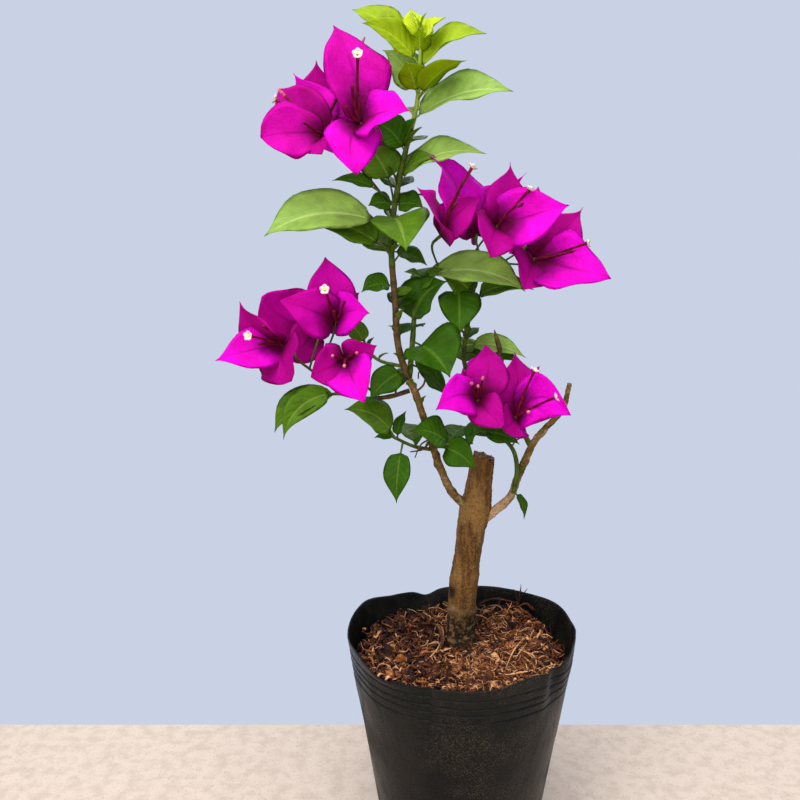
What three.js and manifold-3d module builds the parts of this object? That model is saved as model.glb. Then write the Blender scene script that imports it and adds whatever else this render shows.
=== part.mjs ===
// A potted bougainvillea bush: a cut-back woody stump with two boughs, slender leafy shoots and
// clusters of magenta bracts, in a soft black nursery pot filled with coir and bark.
// Millimetres and degrees, +Z up, +X to the viewer's right, +Y away from the viewer.
// The origin is the middle of the pot's flat underside.
import * as THREE from "three";
import { mergeVertices } from "three/addons/utils/BufferGeometryUtils.js";
import Module from "manifold-3d";

const wasm = await Module();
wasm.setup();

// Driving sizes of the pot and its filling.
const POT_HEIGHT = 127;
const RIM_RADIUS = 65;
const BASE_RADIUS = 44;
const FOOT_ROUND = 2;
const WALL = 1.4;
const FLOOR = 2;
const POT_SIDES = 32;
const GROOVE_DROPS = [22, 17, 13, 8];
const GROOVE_DEPTH = 0.6;
const GROOVE_HALF = 1.1;
const SOIL_Z = 115;
const SOIL_LUMP = 2.4;
const CLEAR = 0.3;
const MIX_GAP = 1.2;

// The soft rim rises and dips: [heading, height, half width in degrees].
const RIM_WAVES = [
  [270, -3.5, 55],
  [225, -4, 14],
  [106, -6, 9],
  [20, 6, 26],
  [152, 5, 18],
  [60, 2, 25],
  [345, 5, 14],
];
// The wall is pressed in or out below the rim: [heading, depth, half width, reach down the wall].
const WALL_DENTS = [
  [318, -3.5, 9, 34],
  [185, 1.2, 30, 60],
  [252, -1.6, 5, 30],
  [205, -1.5, 22, 60],
];
const FOOT_OF_TRUNK = { x: 0.5, y: 8 };
const FLAT_ROUND_TRUNK = 18;
const LUMPS_FROM = 30;
const MOUND = { x: 33, y: 30, height: 4, spread: 18 };

// Proportions that every leaf shares: lengths are shares of the whole leaf, angles are degrees.
const PETIOLE = 0.13;
const LEAF_HALF_WIDTH = 0.3;
const LEAF_FOLD = 14;
const LEAF_DROOP = 36;
const PETIOLE_RADIUS = 0.55;
const LEAF_STATIONS = [0, 0.98, 1.12, 1.4, 1.74, 2];

// Proportions that every bract and flower shares.
const BRACT_HALF_WIDTH = 0.38;
const BRACT_FOLD = 12;
const BRACT_FLARE = 42;
const BRACT_STATIONS = [0, 0.1, 0.34, 0.62, 0.86, 1];
const BLADE_THICK = 0.8;
const TUBE_LENGTH = 33;
const TUBE_LEAN = 0.5;
const TUBE_RADIUS = 0.9;
const STAR_RADIUS = 3.4;
const PEDICEL_RADIUS = 0.6;
const PEDICEL_RUN = 7;
// A head that no bracts are listed for opens evenly.
const EVEN_BRACT = { rise: 46, length: 38 };

const RAD = Math.PI / 180;
const UP = new THREE.Vector3(0, 0, 1);

const LOOKS = {
  pot: { color: 0x141519, roughness: 0.4, metalness: 0 },
  mix: { color: 0x6f4022, roughness: 0.95, metalness: 0 },
  bark: { color: 0x86633f, roughness: 0.85, metalness: 0 },
  leaf: { color: 0x3c741b, roughness: 0.5, metalness: 0 },
  lime: { color: 0x9dbb1c, roughness: 0.5, metalness: 0 },
  bract: { color: 0xd200a6, roughness: 0.55, metalness: 0 },
};

// The stump and its boughs. Each is a smooth line with its radius from foot to tip, and is cut
// clear of its parent.
const LIMBS = {
  trunk: {
    spine: [[0.5, 8, SOIL_Z + CLEAR], [1.5, 8, 148], [5, 7.5, 177], [9, 7, 203], [12.5, 6, 229]],
    radii: [9, 8.2, 8.4, 8, 6.3],
    sides: 12,
    steps: 9,
    level: true,
  },
  left_bough: {
    spine: [[4, 6, 199], [-5.7, 1, 209], [-12.8, -3, 224.5], [-18.5, -8, 242], [-25.9, -13, 265], [-30.2, -14, 275]],
    radii: [3, 2.5, 2.3],
    sides: 7,
    steps: 12,
    parent: "trunk",
  },
  right_bough: {
    spine: [[11, 7, 191], [18, 5, 196.5], [27, 2, 206], [31, 0, 218], [38.6, -2, 237.5], [46, 2, 245.5], [56, 5, 256], [60, 8, 270]],
    radii: [3.3, 2.7, 2.5, 2.1, 1.6],
    sides: 7,
    steps: 16,
    parent: "trunk",
  },
};

// The main shoot, whose foliage is three masses one above another.
const LEADER = [[-31, -14.3, 276], [-36, -15, 293], [-37.6, -16, 316], [-39.5, -16, 350], [-34.5, -16, 382], [-27.5, -14, 410], [-25.5, -13, 425], [-24.5, -12, 453.5]];
const LEADER_RADII = [1.9, 1.7, 1.5, 1.2, 0.8];

// Leafy shoots. A leaf is [place along the shoot, heading, rise, length, roll, droop, breadth],
// where heading 0 is +X, 90 is +Y and 270 is towards the viewer, and the rise is from its root to
// its tip. back gives how many more leaves grow away from the viewer, by the seeded rule.
const SHOOTS = {
  middle_foliage: {
    look: "leaf",
    spine: LEADER,
    radii: LEADER_RADII,
    part: [0, 0.32],
    clearOf: ["left_bough"],
    back: { count: 4, seed: 3 },
    leaves: [
      [0.29, 205, -10, 24, -55],
      [0.06, 214, -38, 28, -60],
      [0.1, 160, 25, 30, -40],
    ],
  },
  upper_foliage: {
    look: "leaf",
    spine: LEADER,
    radii: LEADER_RADII,
    part: [0.325, 0.71],
    clearOf: [],
    back: { count: 5, seed: 7 },
    leaves: [
      [0.57, 26, 14, 50, 50],
      [0.66, 199, 32, 25, -35],
      [0.67, 302, 33, 16, 30],
      [0.58, 197, -8, 35, -20, 60],
      [0.6, 205, 32, 22, -60],
      [0.46, 191, -4, 63, -50],
      [0.38, 168, 24, 40, -50],
      [0.5, 285, -42, 38, 15, 36, 1.15],
      [0.51, 47, 19, 29, 0],
      [0.5, 199, 16, 18, -30],
      [0.35, 31, 18, 21, 30],
    ],
  },
  tip_foliage: {
    look: "lime",
    spine: LEADER,
    radii: LEADER_RADII,
    part: [0.715, 1],
    clearOf: [],
    back: { count: 3, seed: 5 },
    leaves: [
      [0.94, 188, 26, 39, -60],
      [0.92, 172, 24, 34, -40],
      [0.97, 132, 57, 17, -40],
      [0.98, 320, 35, 14, 30],
      [0.95, 351, 12, 33, 45],
      [0.83, 326, 20, 30, 60],
      [0.77, 348, 11, 49, 45],
      [0.81, 131, 44, 34, -70],
    ],
  },
  upper_left_foliage: {
    look: "leaf",
    spine: [[-34, -15, 282], [-45.6, -12, 284.6], [-52.2, -8, 290], [-55.5, -4, 298]],
    radii: [1, 0.7],
    clearOf: ["middle_foliage"],
    back: { count: 1, seed: 9 },
    leaves: [
      [0.8, 170, 46, 18, -60],
      [0.66, 43, 70, 17, 20],
    ],
  },
  left_foliage: {
    look: "leaf",
    spine: [[-30, -15, 269], [-41, -17, 266], [-55, -16, 265], [-68.4, -16, 268]],
    radii: [1.3, 1],
    clearOf: ["left_bough", "middle_foliage"],
    back: { count: 2, seed: 13 },
    leaves: [
      [0.97, 197, -38, 38, -55, 60],
      [0.92, 174, -30, 44, -50, 60],
    ],
  },
  lower_left_foliage: {
    look: "leaf",
    spine: [[-17, -6, 235], [-26.9, -12, 237.8], [-33.9, -18, 243]],
    radii: [1.1, 0.8],
    clearOf: ["left_bough"],
    back: { count: 1, seed: 17 },
    leaves: [
      [0.97, 192, 26, 33, -60],
      [0.9, 42, 66, 16, 0],
      [0.98, 248, -66, 34, 0],
      [0.95, 163, -3, 12, -40],
    ],
  },
  lower_middle_foliage: {
    look: "leaf",
    spine: [[-17.5, -7, 238], [-8, -14, 238], [4, -16, 241]],
    radii: [1, 0.7],
    clearOf: ["left_bough"],
    back: { count: 1, seed: 21 },
    leaves: [
      [0.4, 160, 14, 24, -60],
      [0.42, 330, -45, 28, 70, 36, 1.15],
      [0.85, 345, 30, 18, 50],
    ],
  },
  centre_foliage: {
    look: "leaf",
    spine: [[-30.4, -14, 272], [-28.3, -9, 295.5], [-27, -7, 314], [-25.4, -6, 322], [-20.1, -6, 331]],
    radii: [1.6, 1.2],
    clearOf: ["left_bough", "middle_foliage"],
    back: { count: 4, seed: 23 },
    leaves: [
      [0.98, 342, 0, 42, 50],
      [0.85, 266, -45, 30, 15, 36, 1.15],
      [0.4, 315, -30, 38, 60, 70, 1.3],
      [0.28, 43, -46, 18, 40],
      [0.27, 345, -42, 21, 60],
      [0.18, 31, -40, 31, 60],
    ],
  },
  right_foliage: {
    look: "leaf",
    spine: [[37.5, -2, 236], [27.8, 6, 253], [12.7, 8, 265], [1.3, 8, 280], [2, 5, 300], [5.4, 0, 327]],
    radii: [1.5, 1.1],
    clearOf: ["right_bough"],
    back: { count: 5, seed: 29 },
    leaves: [
      [0.9, 341, 8, 37, 60],
      [0.93, 155, 30, 22, -60],
      [0.92, 244, -51, 26, 0],
      [0.86, 113, -69, 19, 0],
      [0.66, 10, -7, 35, 50],
      [0.62, 20, -15, 42, 40],
      [0.68, 52, 27, 16, 0],
      [0.06, 188, 9, 40, -20, 70],
    ],
  },
};

// Blossom. A stalk leaves its shoot, and a head is { at: place along the stalk, spot: where its
// bracts join, faces: [heading, rise], bracts: three [heading, rise, length] }. A head with a
// spin in place of bracts opens evenly round the way it faces.
const CLUSTERS = {
  top_blossom: {
    stalk: [[-39.3, -14, 361], [-45, -4, 372], [-60, -8, 390]],
    clearOf: ["upper_foliage"],
    heads: [
      { at: 1, spot: [-54, -34, 402], faces: [290, 40], bracts: [[137, 69, 53], [323, 5, 28], [267, -48, 36]] },
      { at: 0.9, spot: [-73, -20, 399], faces: [225, 30], bracts: [[188, 3, 33], [146, 40, 40], [285, -35, 30]] },
      { at: 0.8, spot: [-76, 6, 408], faces: [110, 40], bracts: [[117, 80, 35], [165, 10, 34], [70, -20, 36]] },
      { at: 0.6, spot: [-54, 16, 396], faces: [80, 5], spin: 20 },
    ],
  },
  right_upper_blossom: {
    stalk: [[-18, -4, 332.5], [-4, 2, 336], [10, 4, 337], [22, 6, 336]],
    clearOf: ["centre_foliage"],
    heads: [
      { at: 0.1, spot: [-14.5, -24, 346], faces: [325, 42], bracts: [[139, 82, 44], [244, 43, 36], [39, 33, 30]] },
      { at: 0.5, spot: [15.4, -12, 354.5], faces: [300, 20], bracts: [[53, 69, 35], [347, 16, 38], [258, -25, 36]] },
      { at: 1, spot: [37, 0, 338], faces: [295, 20], bracts: [[27, 42, 42], [334, -14, 42], [225, -22, 34]] },
      { at: 0.7, spot: [8, 22, 352], faces: [85, 25], spin: 60 },
      { at: 0.95, spot: [36, 22, 346], faces: [60, 20], spin: 0 },
    ],
  },
  left_blossom: {
    stalk: [[-68.8, -16, 268.8], [-79.8, -12, 277.6], [-90, -10, 285]],
    clearOf: ["left_foliage"],
    heads: [
      { at: 1, spot: [-98, -11, 293], faces: [235, 5], bracts: [[209, -12, 37], [140, 40, 36], [292, -24, 36]] },
      { at: 0.5, spot: [-68, -22, 306], faces: [270, 15], bracts: [[118, 67, 35], [205, 32, 36], [325, 9, 26]] },
      { at: 0.1, spot: [-62.8, -36, 287], faces: [272, -5], bracts: [[300, -40, 33], [222, -20, 26], [5, 40, 22]] },
      { at: 0.7, spot: [-80, 8, 300], faces: [100, 15], spin: 40 },
    ],
  },
  right_lower_blossom: {
    stalk: [[12.5, 7.5, 264.5], [14, -4, 260], [16, -12, 256]],
    clearOf: ["right_foliage"],
    heads: [
      { at: 0.9, spot: [5, -28, 266], faces: [262, 10], bracts: [[73, 56, 31], [222, -4, 30], [300, -25, 28]] },
      { at: 1, spot: [26, -22, 256], faces: [290, 10], bracts: [[85, 59, 39], [334, 14, 29], [253, -15, 29]] },
    ],
  },
  right_back_blossom: {
    stalk: [[14, 10, 264], [19, 18, 262], [21, 24, 262]],
    clearOf: ["right_foliage"],
    heads: [
      { at: 1, spot: [33, 30, 260], faces: [70, 5], spin: 30 },
      { at: 0.9, spot: [13, 34, 262], faces: [105, 0], spin: 0 },
    ],
  },
};

function vector([x, y, z]) {
  return new THREE.Vector3(x, y, z);
}

function curveThrough(points) {
  return new THREE.CatmullRomCurve3(points.map(vector), false, "catmullrom", 0.5);
}

function smooth(from, to, value) {
  return THREE.MathUtils.smoothstep(value, from, to);
}

// The same run of numbers for the same seed.
function randomFrom(seed) {
  let state = seed;
  return () => {
    state = (state * 1664525 + 1013904223) % 4294967296;
    return state / 4294967296;
  };
}

// A value read from a short list spread evenly over 0 to 1.
function along(list, t) {
  const place = THREE.MathUtils.clamp(t, 0, 1) * (list.length - 1);
  const low = Math.min(Math.floor(place), list.length - 2);
  return THREE.MathUtils.lerp(list[low], list[low + 1], place - low);
}

function heading(turn, rise) {
  return new THREE.Vector3(
    Math.cos(turn * RAD) * Math.cos(rise * RAD),
    Math.sin(turn * RAD) * Math.cos(rise * RAD),
    Math.sin(rise * RAD),
  );
}

// A closed solid from a geometry whose shared vertices are merged and flat faces dropped.
function solidOf(geometry) {
  geometry.deleteAttribute("normal");
  geometry.deleteAttribute("uv");
  const merged = mergeVertices(geometry, 1e-4);
  const corners = merged.index.array;
  const kept = [];
  for (let i = 0; i < corners.length; i += 3) {
    const [a, b, c] = corners.slice(i, i + 3);
    if (a !== b && b !== c && c !== a) kept.push(a, b, c);
  }
  return new wasm.Manifold(
    new wasm.Mesh({
      numProp: 3,
      vertProperties: new Float32Array(merged.attributes.position.array),
      triVerts: new Uint32Array(kept),
    }),
  );
}

function geometryOf(solid) {
  const mesh = solid.getMesh();
  const geometry = new THREE.BufferGeometry();
  geometry.setAttribute("position", new THREE.BufferAttribute(mesh.vertProperties, 3));
  geometry.setIndex(new THREE.BufferAttribute(mesh.triVerts, 1));
  geometry.computeVertexNormals();
  return geometry;
}

// A rod whose rings are laid out one by one. place(t) gives a ring's middle, its side and up
// directions, how far it reaches along each, and how far its edges are lifted.
function ringed(sides, steps, place) {
  const geometry = new THREE.CylinderGeometry(1, 1, 1, sides, steps);
  const spots = geometry.attributes.position;
  for (let i = 0; i < spots.count; i++) {
    const ring = place(spots.getY(i) + 0.5);
    const across = spots.getX(i);
    const above = spots.getZ(i);
    const spot = ring.middle
      .clone()
      .addScaledVector(ring.side, across * ring.width)
      .addScaledVector(ring.up, above * ring.height + Math.abs(across) * (ring.lift ?? 0));
    spots.setXYZ(i, spot.x, spot.y, spot.z);
  }
  return solidOf(geometry);
}

// A tapering limb along its line, or along a part of it, grown by a margin when it is used to
// cut its neighbours clear.
function limbSolid({ spine, radii, part = [0, 1], sides = 5, steps = 7, level = false }, grow = 0) {
  const curve = curveThrough(spine);
  const frames = curve.computeFrenetFrames(steps, false);
  return ringed(sides, steps, (t) => {
    const ring = Math.round(t * steps);
    const place = THREE.MathUtils.lerp(part[0], part[1], THREE.MathUtils.clamp(t, 0, 1));
    const radius = along(radii, place) + grow;
    const end = grow * (t > 0.99 ? 1 : t < 0.01 ? -1 : 0);
    return {
      middle: curve.getPointAt(place).addScaledVector(curve.getTangentAt(place), end),
      side: level ? new THREE.Vector3(1, 0, 0) : frames.binormals[ring],
      up: level ? new THREE.Vector3(0, -1, 0) : frames.normals[ring],
      width: radius,
      height: radius,
    };
  });
}

// A point and its directions on an arc that leaves start about the line of its chord, bending
// away from up by an angle over its whole length.
function arc(start, chord, up, bend, whole, s) {
  const half = (bend / 2) * RAD;
  const turn = (bend * RAD) / whole;
  const now = half - turn * s;
  const far = (Math.sin(half) - Math.sin(now)) / turn;
  const high = (Math.cos(now) - Math.cos(half)) / turn;
  return {
    middle: start.clone().addScaledVector(chord, far).addScaledVector(up, high),
    ahead: chord.clone().multiplyScalar(Math.cos(now)).addScaledVector(up, Math.sin(now)),
    up: up.clone().multiplyScalar(Math.cos(now)).addScaledVector(chord, -Math.sin(now)),
  };
}

// The part of a direction that is square to another.
function squareTo(direction, other) {
  return direction.clone().addScaledVector(other, -direction.dot(other)).normalize();
}

// Half the width of a leaf or bract at t from its foot to its tip, as a share of the widest.
function outline(t, blunt, sharp) {
  const wave = Math.sin(Math.PI * Math.pow(THREE.MathUtils.clamp(t, 0, 1), 0.72));
  return Math.pow(Math.max(wave, 0), THREE.MathUtils.lerp(blunt, sharp, t));
}

function bladeThickness(share) {
  return Math.max((BLADE_THICK / 2) * (1 - share * 0.7), 0.14);
}

// A leaf on its petiole: a four-sided rod pressed flat into an ovate blade, folded a little
// along its midrib and bending over towards its tip.
function leafSolid(start, [, turn, rise, length, roll, droop = LEAF_DROOP, breadth = 1]) {
  const stalk = PETIOLE * length;
  const blade = length - stalk;
  const chord = heading(turn, rise);
  const top = squareTo(UP, chord);
  const last = LEAF_STATIONS.length - 1;
  return ringed(4, last, (t) => {
    const station = LEAF_STATIONS[Math.round(t * last)];
    const share = Math.max(station - 1, 0);
    const at = arc(start, chord, top, droop, length, Math.min(station, 1) * stalk + share * blade);
    const up = at.up.applyAxisAngle(at.ahead, roll * RAD);
    const side = new THREE.Vector3().crossVectors(at.ahead, up);
    if (station < 1) return { middle: at.middle, side, up, width: PETIOLE_RADIUS, height: PETIOLE_RADIUS };
    const half = Math.max(breadth * LEAF_HALF_WIDTH * length * outline(share, 0.62, 1.3), 0.06);
    return {
      middle: at.middle,
      side,
      up,
      width: half * Math.cos(LEAF_FOLD * RAD),
      height: bladeThickness(share),
      lift: half * Math.sin(LEAF_FOLD * RAD),
    };
  });
}

// A papery bract that starts out along its head's axis and flares away from it.
function bractSolid(start, axis, [turn, rise, length]) {
  const chord = heading(turn, rise);
  const top = squareTo(axis, chord);
  const last = BRACT_STATIONS.length - 1;
  return ringed(4, last, (t) => {
    const share = BRACT_STATIONS[Math.round(t * last)];
    const at = arc(start, chord, top, BRACT_FLARE, length, share * length);
    const half = Math.max(BRACT_HALF_WIDTH * length * outline(share, 0.5, 1.15), 0.5 - 0.44 * share);
    return {
      middle: at.middle,
      side: new THREE.Vector3().crossVectors(at.ahead, at.up),
      up: at.up,
      width: half * Math.cos(BRACT_FOLD * RAD),
      height: bladeThickness(share),
      lift: half * Math.sin(BRACT_FOLD * RAD),
    };
  });
}

// One slender flower tube, leaning towards its bract, that opens into a small flat star.
function tubeSolid(start, axis, [turn, rise]) {
  const ahead = axis.clone().addScaledVector(heading(turn, rise), TUBE_LEAN).normalize();
  const side = squareTo(axis, ahead);
  const stations = [0, 0.94, 1];
  return ringed(4, stations.length - 1, (t) => {
    const share = stations[Math.round(t * (stations.length - 1))];
    const radius = share === 1 ? STAR_RADIUS : TUBE_RADIUS;
    return {
      middle: start.clone().addScaledVector(ahead, share * TUBE_LENGTH),
      side,
      up: new THREE.Vector3().crossVectors(side, ahead),
      width: radius,
      height: radius,
    };
  });
}

// Three bracts spread evenly round the way a head faces.
function evenBracts([turn, rise], spin) {
  const axis = heading(turn, rise);
  const across = squareTo(UP, axis);
  return [0, 120, 240].map((step) => {
    const out = across.clone().applyAxisAngle(axis, (spin + step) * RAD);
    const chord = axis
      .clone()
      .multiplyScalar(Math.sin(EVEN_BRACT.rise * RAD))
      .addScaledVector(out, Math.cos(EVEN_BRACT.rise * RAD));
    return [Math.atan2(chord.y, chord.x) / RAD, Math.asin(chord.z) / RAD, EVEN_BRACT.length];
  });
}

function headSolids(stalk, { at, spot, faces, spin, bracts = evenBracts(faces, spin) }) {
  const axis = heading(...faces);
  const start = vector(spot);
  const from = stalk.getPointAt(at);
  const pedicel = limbSolid({
    spine: [
      from.toArray(),
      start.clone().addScaledVector(axis, -PEDICEL_RUN).toArray(),
      start.clone().addScaledVector(axis, 0.8).toArray(),
    ],
    radii: [PEDICEL_RADIUS, PEDICEL_RADIUS, PEDICEL_RADIUS * 1.6],
    sides: 4,
    steps: 3,
  });
  return [pedicel, tubeSolid(start, axis, bracts[0]), ...bracts.map((row) => bractSolid(start, axis, row))];
}

function join(solids) {
  return solids.reduce((whole, piece) => whole.add(piece));
}

// The largest body of a solid, so that a scrap left by a cut is dropped.
function largest(solid) {
  return solid.decompose().reduce((best, body) => (body.volume() > best.volume() ? body : best));
}

// How high the rim stands above its mean height, by heading in degrees.
function rimWave(turn) {
  return RIM_WAVES.reduce((sum, [at, height, width]) => sum + height * bump(turn, at, width), 0);
}

function bump(turn, at, width) {
  const off = (((turn - at) % 360) + 540) % 360 - 180;
  return Math.exp(-(off * off) / (width * width));
}

// How far the wall is pressed in or out at a heading and height.
function wallDent(turn, z) {
  return WALL_DENTS.reduce(
    (sum, [at, depth, width, down]) => sum + depth * bump(turn, at, width) * smooth(POT_HEIGHT - down, POT_HEIGHT, z),
    0,
  );
}

// Bends a turned shape the way the soft pot is bent.
function soften(geometry, lift) {
  const spots = geometry.attributes.position;
  for (let i = 0; i < spots.count; i++) {
    const spot = new THREE.Vector3().fromBufferAttribute(spots, i);
    const turn = Math.atan2(spot.y, spot.x) / RAD;
    const scale = 1 + wallDent(turn, spot.z) / wallRadius(spot.z);
    spots.setXYZ(i, spot.x * scale, spot.y * scale, spot.z + lift(spot, turn));
  }
}

function turned(profile) {
  const points = profile.map(([r, z]) => new THREE.Vector2(r, z));
  return new THREE.LatheGeometry(points, POT_SIDES).rotateX(Math.PI / 2);
}

function wallRadius(z) {
  return THREE.MathUtils.lerp(BASE_RADIUS, RIM_RADIUS, z / POT_HEIGHT);
}

function potSolid() {
  const grooves = GROOVE_DROPS.map((drop) => POT_HEIGHT - drop).flatMap((z) => [
    [wallRadius(z - GROOVE_HALF), z - GROOVE_HALF],
    [wallRadius(z) - GROOVE_DEPTH, z],
    [wallRadius(z + GROOVE_HALF), z + GROOVE_HALF],
  ]);
  const inside = [POT_HEIGHT, SOIL_Z, 90, 60, 30, FLOOR].map((z) => [wallRadius(z) - WALL, z]);
  const geometry = turned([
    [0, 0],
    [BASE_RADIUS - FOOT_ROUND, 0],
    [wallRadius(FOOT_ROUND), FOOT_ROUND],
    ...[30, 60, 80, 95].map((z) => [wallRadius(z), z]),
    ...grooves,
    [RIM_RADIUS, POT_HEIGHT],
    ...inside,
    [0, FLOOR],
  ]);
  soften(geometry, ({ z }, turn) => rimWave(turn) * smooth(SOIL_Z + 2, POT_HEIGHT, z));
  return solidOf(geometry);
}

// How far the lumpy potting mix stands above or below its mean height.
function lump(x, y) {
  const away = Math.hypot(x - FOOT_OF_TRUNK.x, y - FOOT_OF_TRUNK.y);
  const mound = MOUND.height * Math.exp(-((x - MOUND.x) ** 2 + (y - MOUND.y) ** 2) / MOUND.spread ** 2);
  const rough = Math.sin(0.33 * x + 2 * Math.sin(0.21 * y)) * Math.cos(0.29 * y + Math.sin(0.27 * x));
  return (SOIL_LUMP * rough + mound) * smooth(FLAT_ROUND_TRUNK, LUMPS_FROM, away);
}

function mixSolid() {
  const edge = (z) => wallRadius(z) - WALL - MIX_GAP;
  const top = [0.86, 0.72, 0.57, 0.42, 0.28, 0.14].map((share) => [edge(SOIL_Z) * share, SOIL_Z]);
  const geometry = turned([
    [0, FLOOR + CLEAR],
    [edge(FLOOR + CLEAR), FLOOR + CLEAR],
    ...[30, 60, 90, SOIL_Z - 1].map((z) => [edge(z), z]),
    ...top,
    [0, SOIL_Z],
  ]);
  soften(geometry, ({ x, y, z }) => (z < SOIL_Z - 0.5 ? 0 : lump(x, y)));
  return solidOf(geometry);
}

// Leaves that grow away from the viewer, spread evenly along their shoot.
function backLeaves({ count, seed }, [from, to]) {
  const random = randomFrom(seed);
  return Array.from({ length: count }, (_, i) => [
    THREE.MathUtils.lerp(from, to, (i + 0.3 + 0.4 * random()) / count),
    90 + 80 * (random() - 0.5),
    5 + 25 * random(),
    27 + 14 * random(),
    40 * (random() - 0.5),
  ]);
}

const plant = new THREE.Group();
plant.name = "bougainvillea_bush";
const placed = new Map();
const stems = new Map(Object.entries({ ...LIMBS, ...SHOOTS }));

function add(name, solid, look) {
  const mesh = new THREE.Mesh(geometryOf(solid), new THREE.MeshStandardMaterial(LOOKS[look]));
  mesh.name = name;
  plant.add(mesh);
  placed.set(name, solid);
}

function cutClear(solid, names) {
  return largest(names.reduce((rest, name) => rest.subtract(limbSolid(stems.get(name), CLEAR)), solid));
}

// Whether a leaf would touch a piece that stands already or the stem of another shoot.
function touches(leaf, own) {
  const others = Object.entries(SHOOTS).filter(([name]) => name !== own && !placed.has(name));
  const stemSolids = others.map(([, shoot]) => limbSolid(shoot, CLEAR));
  return [...placed.values(), ...stemSolids].some((other) => other.intersect(leaf).volume() > 0);
}

add("pot", potSolid(), "pot");
add("potting_mix", mixSolid(), "mix");
for (const [name, limb] of Object.entries(LIMBS)) {
  add(name, cutClear(limbSolid(limb), limb.parent ? [limb.parent] : []), "bark");
}
for (const [name, { stalk, clearOf, heads }] of Object.entries(CLUSTERS)) {
  const line = curveThrough(stalk);
  const pieces = heads.flatMap((head) => headSolids(line, head));
  add(name, cutClear(join([limbSolid({ spine: stalk, radii: [0.8, 0.7] }), ...pieces]), clearOf), "bract");
}
for (const [name, shoot] of Object.entries(SHOOTS)) {
  const line = curveThrough(shoot.spine);
  const grow = (row) => leafSolid(line.getPointAt(row[0]), row);
  const leaves = shoot.leaves.map(grow);
  const more = backLeaves(shoot.back, shoot.part ?? [0, 1]).map(grow).filter((leaf) => !touches(leaf, name));
  add(name, cutClear(join([limbSolid(shoot), ...leaves, ...more]), shoot.clearOf), shoot.look);
}

export default plant;
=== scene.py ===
"""Dresses a potted bougainvillea bush: bark, leaves, papery bracts, flowers, pot and potting mix.

Sizes below are in millimetres and degrees, in the model's own frame, and become metres where a
mesh is made. A heading of 0 is +X, 90 is +Y away from the viewer and 270 is towards the viewer.
"""
import math

import bpy
import numpy as np
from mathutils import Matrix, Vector, noise
from mathutils.bvhtree import BVHTree


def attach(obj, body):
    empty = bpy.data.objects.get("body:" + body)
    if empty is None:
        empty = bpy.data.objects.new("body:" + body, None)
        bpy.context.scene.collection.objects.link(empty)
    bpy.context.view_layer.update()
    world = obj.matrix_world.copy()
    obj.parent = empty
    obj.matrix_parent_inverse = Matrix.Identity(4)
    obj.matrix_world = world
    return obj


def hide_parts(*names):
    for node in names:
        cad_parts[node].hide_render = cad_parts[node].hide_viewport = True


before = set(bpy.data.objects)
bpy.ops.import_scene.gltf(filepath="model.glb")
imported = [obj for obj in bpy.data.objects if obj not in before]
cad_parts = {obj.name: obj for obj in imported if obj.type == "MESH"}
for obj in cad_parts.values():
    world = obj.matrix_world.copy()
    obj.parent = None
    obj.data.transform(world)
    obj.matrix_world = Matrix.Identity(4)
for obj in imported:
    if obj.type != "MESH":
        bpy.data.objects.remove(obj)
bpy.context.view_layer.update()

MM = 0.001

# The camera, in metres and degrees, worked out from the ellipse that the pot's rim makes.
CAMERA_AT = (-0.035, -0.43615, 0.32845)
CAMERA_DOWN = 8.7
LENS = 36.0
SENSOR = 36.0

# Pot and filling.
POT_HEIGHT = 127
RIM_RADIUS = 65
BASE_RADIUS = 44
FOOT_ROUND = 2
POT_SKIN = 0.9
# Fine grooves round the wall, by how far they lie below the rim.
GROOVE_DROPS = [22, 17, 13, 8]
GROOVE_DEPTH = 0.6
GROOVE_HALF = 0.5
GROOVED_FROM = 96.6
# The mix hides the inside of the wall below this height.
POT_FLOOR = 104
# The mix stands about this high. Its bed lies a little lower, under the loose bits.
SOIL_Z = 115
SOIL_LUMP = 2.4
BED_DROP = 2.2
BED_GAP = 0.4
BED_THICK = 9
# The soft rim rises and dips: [heading, height, half width].
RIM_WAVES = [
    [270, -2.4, 55], [225, -4, 14], [106, -3.6, 6], [20, 6, 26], [152, 5, 18], [62, 3, 26], [345, 5, 14],
    [298, 3.2, 12], [322, -2.5, 5],
]
# The wall is pressed in or out below the rim: [heading, depth, half width, reach down the wall].
WALL_DENTS = [
    [319, -4.2, 6, 34], [311, 0.8, 4, 30], [185, 1.2, 30, 60], [251, -1.8, 1.8, 44], [254.5, 0.7, 2.5, 40],
    [205, -1.5, 22, 60],
]
# The mix lies flat close round the trunk, and in full lumps from a little further out.
FOOT_OF_TRUNK = [0.5, 8]
FLAT_ROUND_TRUNK = 18
LUMPS_FROM = 30
CLEAR_OF_TRUNK = 8.5
CLEAR_OF_FIBRES = 9.5
# Heaps of the mix: [x, y, height, spread].
MOUNDS = [[33, 30, 4, 18], [36, 43, 6, 12]]
SMALL_CHIPS = 1500
LARGE_CHIPS = 260
FIBRES = 3000
FIBRE_SHARES = np.linspace(-0.5, 0.5, 8)
# Looks of the loose bits, from dark to pale, and the level at which each gives way to the next.
CHIP_LOOKS = ["chip_dark", "chip_plum", "chip_brown", "chip_tan", "chip_pale"]
CHIP_LEVELS = [0.34, 0.52, 0.78, 1.02]
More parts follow.
